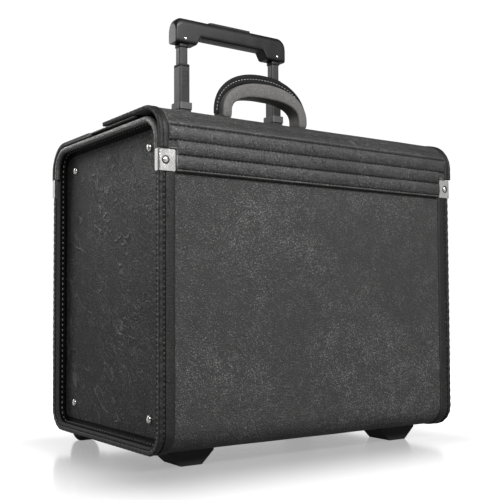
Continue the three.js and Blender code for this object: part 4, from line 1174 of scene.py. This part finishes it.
# ---- Carry handle ----------------------------------------------------------------------------------
HANDLE_Y = (low("carry_handle").y + high("carry_handle").y) / 2
HANDLE_DEEP = high("carry_handle").y - low("carry_handle").y
SPRING_Z = 427.0
PIVOT_Z = (low("handle_pin_left").z + high("handle_pin_left").z) / 2
PIVOT_X = 62.0
BODY_TOP, BODY_HALF, BODY_POWER = 470.0, 69.5, 2.2
INNER_TOP, INNER_HALF, INNER_POWER = 449.5, 54.5, 2.5
WELT_TOP, WELT_HALF = 483.8, 75.9
TAB_LEVELS = (  # height over the pin, half depth and half width
    (-6.4, 1.6, 4.6), (-6.0, 3.0, 5.6), (-4.6, 4.8, 6.2), (-2.4, 6.1, 6.45), (0, 6.5, 6.5),
    (4, 6.6, 6.5), (9, 7.4, 6.6), (13, 9.2, 6.4), (15, 9.4, 5.4),
)


def arch(t, half, top, power):
    c, s = math.cos(t), math.sin(t)
    x = math.copysign(abs(c) ** (2 / power), c) * half
    return x, SPRING_Z + (top - SPRING_Z) * abs(s) ** (2 / power)


def even_angles(count, half, top, power):
    """Angles that share out the arch's length evenly."""
    fine = [math.pi * i / 2000 for i in range(2001)]
    points = [arch(t, half, top, power) for t in fine]
    run = [0.0]
    for p, q in zip(points, points[1:]):
        run.append(run[-1] + math.hypot(q[0] - p[0], q[1] - p[1]))
    angles, j = [], 0
    for i in range(count + 1):
        goal = run[-1] * i / count
        while j < len(run) - 2 and run[j + 1] < goal:
            j += 1
        share = (goal - run[j]) / max(1e-9, run[j + 1] - run[j])
        angles.append(fine[j] + (fine[j + 1] - fine[j]) * share)
    return angles, run[-1]


def handle_stations(outer, inner, leg_low, count):
    """Pairs of outer and inner points, with legs below the arch."""
    angles, length = even_angles(count, *outer)
    pairs = [(arch(t, *outer), arch(t, *inner)) for t in angles]
    step = (SPRING_Z - leg_low) / 4
    right = [((outer[0], leg_low + step * i), (inner[0], leg_low + step * i)) for i in range(4)]
    left = [((-o[0], o[1]), (-n[0], n[1])) for o, n in reversed(right)]
    return right + pairs + left, length


def carry_handle():
    outer = (BODY_HALF, BODY_TOP, BODY_POWER)
    inner = (INNER_HALF, INNER_TOP, INNER_POWER)
    stations, _ = handle_stations(outer, inner, PIVOT_Z + 12, 84)
    rings = []
    for index, (o, n) in enumerate(stations):
        o, n = Vector(o), Vector(n)
        centre, across = (o + n) / 2, (o - n)
        half = across.length / 2
        across.normalize()
        end = min(index, len(stations) - 1 - index)
        squeeze = (0.80, 0.93, 0.98)[end] if end < 3 else 1.0
        fat = 1 + 0.02 * ripple(centre.x, centre.y, 12, 3)
        ring = []
        for a, b in rounded_bar(1, 1, 7.5, 44):
            crown = 1 + 0.04 * (1 - a * a) * (1 if abs(b) > 0.8 else 0)
            p = centre + across * a * half * squeeze * fat * 0.985
            ring.append(place(p.x, HANDLE_Y + b * (HANDLE_DEEP / 2 - 0.6) * squeeze * crown, p.y))
        rings.append(ring)
    verts, faces = loft(rings)
    body = make(
        "carry_handle_pad", verts, faces, [HANDLE_LEATHER], "carry_handle",
        ["carry_handle"]
    )

    welt_outer = (WELT_HALF, WELT_TOP, BODY_POWER)
    welt_inner = (BODY_HALF - 1.5, BODY_TOP - 1.5, BODY_POWER)
    stations, length = handle_stations(welt_outer, welt_inner, 424, 230)
    rings = []
    outline = [(0.0, 2.2), (0.35, 2.05), (0.5, 1.75), (0.65, 2.0), (0.88, 1.9), (0.98, 1.2), (1.0, 0.0)]
    outline = outline + [(a, -b) for a, b in reversed(outline[:-1])]
    for index, (o, n) in enumerate(stations):
        o, n = Vector(o), Vector(n)
        pull = 0.5 + 0.5 * math.cos(TAU * index / 3.0)
        wave = 0.3 * ripple(index, 0, 4, 6)
        ring = []
        for a, b in outline:
            p = n + (o - n) * a
            extra = -0.12 * pull if abs(a - 0.5) < 0.1 else 0
            ring.append(place(p.x, HANDLE_Y + b * (1 + extra) + 0.1 * wave * a, p.y))
        rings.append(ring)
    verts, faces = loft(rings)
    make("carry_handle_welt", verts, faces, [WELT_AND_GROOVE_SHADE_LEATHER], "carry_handle")
    points = []
    count = round(length / 5.2)
    angles, _ = even_angles(count, (WELT_HALF + BODY_HALF) / 2, (WELT_TOP + BODY_TOP) / 2, BODY_POWER)
    for t, u in zip(angles, angles[1:]):
        middle = (t + u) / 2
        shape = ((WELT_HALF + BODY_HALF) / 2, (WELT_TOP + BODY_TOP) / 2, BODY_POWER)
        x, z = arch(middle, *shape)
        p, q = arch(middle - 0.01, *shape), arch(middle + 0.01, *shape)
        along = Vector((q[0] - p[0], 0, q[1] - p[1]))
        for face in (-1, 1):
            points.append((place(x, HANDLE_Y + face * 1.85, z), along, Vector((0, face, 0))))
    stitches("carry_handle_stitches", points, "carry_handle", PALE_THREAD, 2.9, 0.36, 61)

    for name, side in SIDES.items():
        rings = []
        for level, radius_y, half_x in TAB_LEVELS:
            ring = rounded_bar(half_x, radius_y, 3.4, 28)
            rings.append([place(side * PIVOT_X + a, HANDLE_Y + b, PIVOT_Z + level) for a, b in ring])
        verts, faces = loft(rings)
        make(f"carry_handle_tab_{name}", verts, faces, [BINDING], "carry_handle")


carry_handle()


# ---- Trolley ---------------------------------------------------------------------------------------
TROLLEY_Y = (low("trolley_bezel").y + high("trolley_bezel").y) / 2
GRIP_LOW, GRIP_HIGH = low("trolley_grip"), high("trolley_grip")
LEG_X = (low("upper_tube_right").x + high("upper_tube_right").x) / 2


def trolley_grip():
    """The moulded crossbar: an oval bar with rounded shoulders that turns down into two legs."""
    half, top, under, leg_low, leg_in = GRIP_HIGH.x, GRIP_HIGH.z, 543.0, 532.0, 60.0
    deep = GRIP_HIGH.y - GRIP_LOW.y
    front = deep / 2
    shoulder = 12.0

    def section(x):
        """(y, z) points at x, from the front's lower edge over the top to the rear's lower edge."""
        edge = half - abs(x)
        drop = 0.0
        if edge < shoulder:
            drop = shoulder - math.sqrt(max(0.0, shoulder**2 - (shoulder - edge) ** 2))
        inset = 1.6 * max(0.0, 1 - edge / 2.2) ** 2
        crest = top - drop
        into_leg = min(1.0, max(0.0, (abs(x) - leg_in + 8) / 8.5))
        blend = into_leg * into_leg * (3 - 2 * into_leg)
        bottom = under + (leg_low - under) * blend
        reach = front - inset
        curve = max(1.5, min(9.5, crest - under - 6))
        points = [
            (0.0, bottom), (-reach + 2.6, bottom), (-reach + 0.9, bottom + 0.8),
            (-reach + 0.1, bottom + 2.4)
        ]
        points += [
            (-reach, min(bottom + 5, crest - curve)), (-reach, crest - curve - 1.2),
            (-reach + 0.25, crest - curve)
        ]
        for i in range(1, 8):
            t = math.pi / 2 * i / 8
            points.append((-reach + 0.25 + 7.6 * (1 - math.cos(t)), crest - curve + curve * math.sin(t)))
        points.append((-reach + 8.4, crest))
        return points + [(0.0, crest)] + [(-y, z) for y, z in reversed(points[1:])]

    marks = [-half + 0.15 * i for i in range(16)] + [-half + 2.4 + 0.7 * i for i in range(60)]
    marks = marks + [0.0] + [-x for x in reversed(marks)]
    rings = [[place(x, TROLLEY_Y + y, z) for y, z in section(x)] for x in marks]
    verts, faces = loft(rings)
    grip = make("grip_moulding", verts, faces, [GRIP], "upper_stage", ["trolley_grip"])
    a, b = low("grip_button"), high("grip_button")
    cut_boxes(grip, [((a.x - 0.4, a.y - 0.4, a.z - 4.4), (b.x + 0.4, b.y + 0.4, top + 3))])
    edges = grip.modifiers.new("even_normals", "WEIGHTED_NORMAL")
    edges.keep_sharp = True

    for name, side in SIDES.items():
        rings = []
        for z, grow in ((leg_low + 1, 1.1), (527.6, 1.1), (527.2, 0.9), (527.0, 0.3)):
            ring = rounded_bar(6.4 + grow, 6.0 + grow, 6, 36)
            rings.append([place(side * LEG_X + u, TROLLEY_Y + v, z) for u, v in ring])
        verts, faces = loft(rings)
        make(f"grip_sleeve_{name}", verts, faces, [MOULDED], "upper_stage")
        for face in (-1, 1):
            verts, faces = [], []
            out = Vector((0, face, 0))
            centre = place(side * LEG_X, TROLLEY_Y + face * deep / 2, 538)
            ring_dome(verts, faces, centre, out, 2.1 * MM, 0.7 * MM, 20)
            label = "front" if face < 0 else "rear"
            screw = make(f"grip_screw_{label}_{name}", verts, faces, [NICKEL], "upper_stage")
            slot_size = (1.9, 0.25)
            slots = []
            for dx, dz in (slot_size, reversed(slot_size)):
                y0, y1 = sorted((TROLLEY_Y + face * (deep / 2 + 0.45), TROLLEY_Y + face * (deep / 2 + 2)))
                x = side * LEG_X
                slots.append(((x - dx / 1.4, y0, 538 - dz / 1.4), (x + dx / 1.4, y1, 538 + dz / 1.4)))
            cut_boxes(screw, slots[:1])
            cut_boxes(screw, slots[1:])


trolley_grip()


def tube_caps():
    """The black plastic end cap in the top of each lower tube and of each fixed sleeve."""
    for name, side in SIDES.items():
        a, b = low(f"lower_tube_{name}"), high(f"lower_tube_{name}")
        half_x, half_y = (b.x - a.x) / 2, (b.y - a.y) / 2
        inner_x, inner_y = 6.55, 6.15
        rings = []
        for z, grow in ((b.z - 2.6, 0.02), (b.z - 2.6, 0.22), (b.z + 0.4, 0.22), (b.z + 0.9, -0.3)):
            ring = rounded_bar(half_x + grow, half_y + grow, 7, 40)
            rings.append([place(side * LEG_X + u, TROLLEY_Y + v, z) for u, v in ring])
        for z in (b.z + 0.9, b.z - 2.6):
            ring = rounded_bar(inner_x, inner_y, 9, 40)
            rings.append([place(side * LEG_X + u, TROLLEY_Y + v, z) for u, v in ring])
        verts, faces = loft(rings, closed_path=True)
        make(f"tube_cap_{name}", verts, faces, [MOULDED], "lower_stage")


tube_caps()


# ---- Wheels ----------------------------------------------------------------------------------------
def lathe(side, centre, profile, sides, wobble=None):
    """A ring turned about X from a closed profile of (radius, offset), in mm."""
    rings = []
    for k in range(sides):
        t = TAU * k / sides
        ring = []
        for radius, offset in profile:
            r = radius + (wobble(t, radius, offset) if wobble else 0)
            y, z = centre.y + r * math.cos(t), centre.z + r * math.sin(t)
            ring.append(place(centre.x + side * offset, y, z))
        rings.append(ring)
    return loft(rings, closed_path=True)


def wheel(name, side):
    tyre_low, tyre_high = low(f"wheel_tyre_{name}"), high(f"wheel_tyre_{name}")
    centre = (tyre_low + tyre_high) / 2
    radius = (tyre_high.z - tyre_low.z) / 2
    half = (tyre_high.x - tyre_low.x) / 2
    profile = [
        (17.25, -half + 0.1), (19.5, -half), (21.6, -half + 0.3), (23.2, -half + 0.9), (24.3, -half + 2.0),
        (24.9, -half + 3.6)
    ]
    for groove in (-6, 0, 6):
        profile += [
            (radius - 0.02, groove - 1.0), (radius - 0.75, groove - 0.55), (radius - 0.75, groove + 0.55),
            (radius - 0.02, groove + 1.0)
        ]
    profile += [
        (24.9, half - 3.6), (24.3, half - 2.0), (23.2, half - 0.9), (21.6, half - 0.3), (19.5, half),
        (17.25, half - 0.1)
    ]
    verts, faces = lathe(side, centre, profile, 96)
    make(
        f"wheel_tread_{name}", verts, faces, [RUBBER], f"wheel_{name}",
        [f"wheel_tyre_{name}"]
    )
    rim = [
        (14.2, -half + 0.6), (17.1, -half + 0.3), (17.1, half - 0.3), (14.2, half - 0.6),
        (13.8, half - 2.5), (13.8, -half + 2.5)
    ]
    boss = [
        (3.15, -half - 0.3), (6.4, -half - 0.3), (7.0, -half + 0.3),
        (7.0, half - 0.3), (6.4, half + 0.3), (3.15, half + 0.3),
    ]
    web = [(6.5, -2.0), (14.2, -2.0), (14.2, 2.0), (6.5, 2.0)]
    parts = [lathe(side, centre, rim, 72), lathe(side, centre, boss, 48), lathe(side, centre, web, 60)]
    spoke = ((6.6, 1.5, half - 1.2), (9, 1.1, half - 2.2), (12, 1.1, half - 2.6), (14.4, 1.6, half - 2.0))
    for number in range(6):
        t = TAU * number / 6
        radial, across = Vector((0, math.cos(t), math.sin(t))), Vector((0, -math.sin(t), math.cos(t)))
        rings = []
        for reach, wide, deep in spoke:
            middle = centre + radial * reach
            ring = [middle + across * b + Vector((a, 0, 0)) for a, b in rounded_bar(deep, wide, 5, 16)]
            rings.append([place(*p) for p in ring])
        parts.append(loft(rings))
    verts, faces = joined(parts)
    hub = make(
        f"wheel_rim_{name}", verts, faces, [MOULDED], f"wheel_{name}",
        [f"wheel_hub_{name}"]
    )
    soften(hub, 0.3, 2, 45)


for side_name, side_sign in SIDES.items():
    wheel(side_name, side_sign)


# ---- CAD nodes that stay, with their finishes ------------------------------------------------------
KEPT = {  # finish and edge rounding in mm, by the start of the node's name
    "floor_board": (LINING, 0.5), "trolley_base": (MOULDED, 1.0), "trolley_bezel": (MOULDED, 0.8),
    "grip_button": (MOULDED, 0.8), "end_panel_stay": (NICKEL, 0.3), "handle_mount": (NICKEL, 0.45),
    "handle_pin": (STEEL, 0.4), "lock_body": (NICKEL, 0.8), "lock_slider": (NICKEL, 0.45),
    "trolley_channel": (ANODISED, 0.35), "trolley_collar": (COLLAR, 1.6), "stage_latch": (MOULDED, 0.3),
    "lower_tube": (ANODISED, 0.35), "upper_tube": (ANODISED, 0.35), "wheel_housing": (MOULDED, 0.6),
    "wheel_axle": (STEEL, 0.3), "front_foot": (FOOT, 1.8), "lock_dial": (DIAL_AND_DARK_RING, 0.4),
}
for node_name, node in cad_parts.items():
    if node.hide_render:
        continue
    base = next(key for key in KEPT if node_name.startswith(key))
    finish, width = KEPT[base]
    node.data.materials.clear()
    node.data.materials.append(finish)
    soften(node, width, 3, 30)


# ---- Stage, light and camera -----------------------------------------------------------------------
def floor_material():
    """Glossy white acrylic that glows white, with a painted shadow: its glow is dimmed close to the case,
    where its reflection lies.
    """
    s = Shader("studio_floor", Specular_IOR_Level=0.5)
    s.shader.inputs["Base Color"].default_value = (0.10, 0.10, 0.10, 1)
    s.shader.inputs["Emission Color"].default_value = (1, 1, 1, 1)
    length = s.nodes.new("ShaderNodeVectorMath")
    length.operation = "LENGTH"
    s.link(s.place, length.inputs[0])
    fade = s.ramp(length.outputs["Value"], 0.9, 2.2, 1.0, 0.0)
    s.link(fade, s.shader.inputs["Alpha"])
    split = s.nodes.new("ShaderNodeSeparateXYZ")
    s.link(s.place, split.inputs[0])
    beside = s.math("MAXIMUM", s.math("SUBTRACT", s.math("ABSOLUTE", split.outputs["X"], 0.0), 0.22), 0.0)
    before = s.math("MAXIMUM", s.math("SUBTRACT", s.math("ABSOLUTE", split.outputs["Y"], 0.0), 0.13), 0.0)
    painted_shadow_distance = s.math("POWER", s.math("ADD", s.math("POWER", beside, 2.0), s.math("POWER", before, 2.0)), 0.5)
    seen = s.ramp(s.nodes.new("ShaderNodeLightPath").outputs["Is Camera Ray"], 0.0, 1.0, 0.25, 1.0)
    # Painted shadow: the glow drops to about a third within 17 cm of the case's footprint.
    s.link(s.math("MULTIPLY", s.ramp(painted_shadow_distance, 0.0, 0.17, 0.36, 1.0), seen), s.shader.inputs["Emission Strength"])
    s.link(s.ramp(s.noise(3, 2, 0.5), 0.3, 0.7, 0.13, 0.17), s.shader.inputs["Roughness"])
    return s.material


def stage():
    work = bmesh.new()
    bmesh.ops.create_circle(work, cap_ends=True, segments=96, radius=3.0)
    mesh = bpy.data.meshes.new("studio_floor")
    work.to_mesh(mesh)
    work.free()
    mesh.materials.append(floor_material())
    floor = bpy.data.objects.new("studio_floor", mesh)
    bpy.context.scene.collection.objects.link(floor)


def softbox(name, location, target, size, power, tall=None):
    """A rectangular area light in metres and watts, size wide and tall high, turned to the target."""
    light = bpy.data.lights.new(name, "AREA")
    light.shape = "RECTANGLE"
    light.size = size
    light.size_y = tall or size
    light.energy = power
    lamp = bpy.data.objects.new(name, light)
    bpy.context.scene.collection.objects.link(lamp)
    lamp.location = location
    lamp.rotation_euler = (Vector(target) - Vector(location)).to_track_quat("-Z", "Y").to_euler()
    return lamp


def lights():
    """A white room: soft boxes in front and to the left, and a plain white backdrop."""
    world = bpy.data.worlds.new("studio")
    world.use_nodes = True
    tree = world.node_tree
    backdrop = tree.nodes["Background"]
    backdrop.inputs["Color"].default_value = (1, 1, 1, 1)
    backdrop.inputs["Strength"].default_value = 1.02
    glow = tree.nodes.new("ShaderNodeBackground")
    glow.inputs["Color"].default_value = (1, 1, 1, 1)
    glow.inputs["Strength"].default_value = 0.055
    seen = tree.nodes.new("ShaderNodeLightPath")
    mix = tree.nodes.new("ShaderNodeMixShader")
    tree.links.new(seen.outputs["Is Camera Ray"], mix.inputs[0])
    tree.links.new(glow.outputs[0], mix.inputs[1])
    tree.links.new(backdrop.outputs[0], mix.inputs[2])
    tree.links.new(mix.outputs[0], tree.nodes["World Output"].inputs["Surface"])
    bpy.context.scene.world = world
    softbox("key", (0.10, -1.75, 1.48), (0.05, -0.1, 0.40), 1.2, 80, 0.55)
    softbox("left_fill", (-0.80, -0.50, 0.80), (-0.2, -0.12, 0.30), 0.35, 3.6)
    softbox("rear_fill", (0.9, 1.8, 1.3), (0, 0, 0.3), 1.2, 10)
    softbox("right_card", (1.5, -2.1, 0.45), (0.1, -0.1, 0.3), 1.5, 3.1, 1.0)
    softbox("left_card", (-1.25, 1.75, 0.5), (-0.2, 0, 0.35), 0.9, 2.6, 1.1)
    softbox("bead_light", (-0.80, 1.75, 1.25), (-0.2, 0, 0.35), 0.8, 11, 0.6)
    softbox("back_wall", (1.5, 2.4, 0.7), (-0.3, -0.4, 0.2), 4.4, 22, 1.5)


def camera():
    """The camera fitted to the photo's corners."""
    lens = bpy.data.cameras.new("camera")
    lens.sensor_width = 36
    lens.lens = 60.72
    lens.shift_x = 0.08
    lens.shift_y = 0.03
    lens.clip_start = 0.01
    eye = bpy.data.objects.new("camera", lens)
    bpy.context.scene.collection.objects.link(eye)
    yaw, pitch, roll = (math.radians(angle) for angle in (33.389, 2.695, -0.138))
    forward = Vector((math.sin(yaw) * math.cos(pitch), math.cos(yaw) * math.cos(pitch), math.sin(pitch)))
    turn = forward.to_track_quat("-Z", "Y").to_matrix().to_4x4() @ Matrix.Rotation(roll, 4, "Z")
    eye.matrix_world = Matrix.Translation(place(-667.78, -910.83, 179.56)) @ turn
    bpy.context.scene.camera = eye


stage()
lights()
camera()
bpy.context.scene.view_settings.view_transform = "Standard"
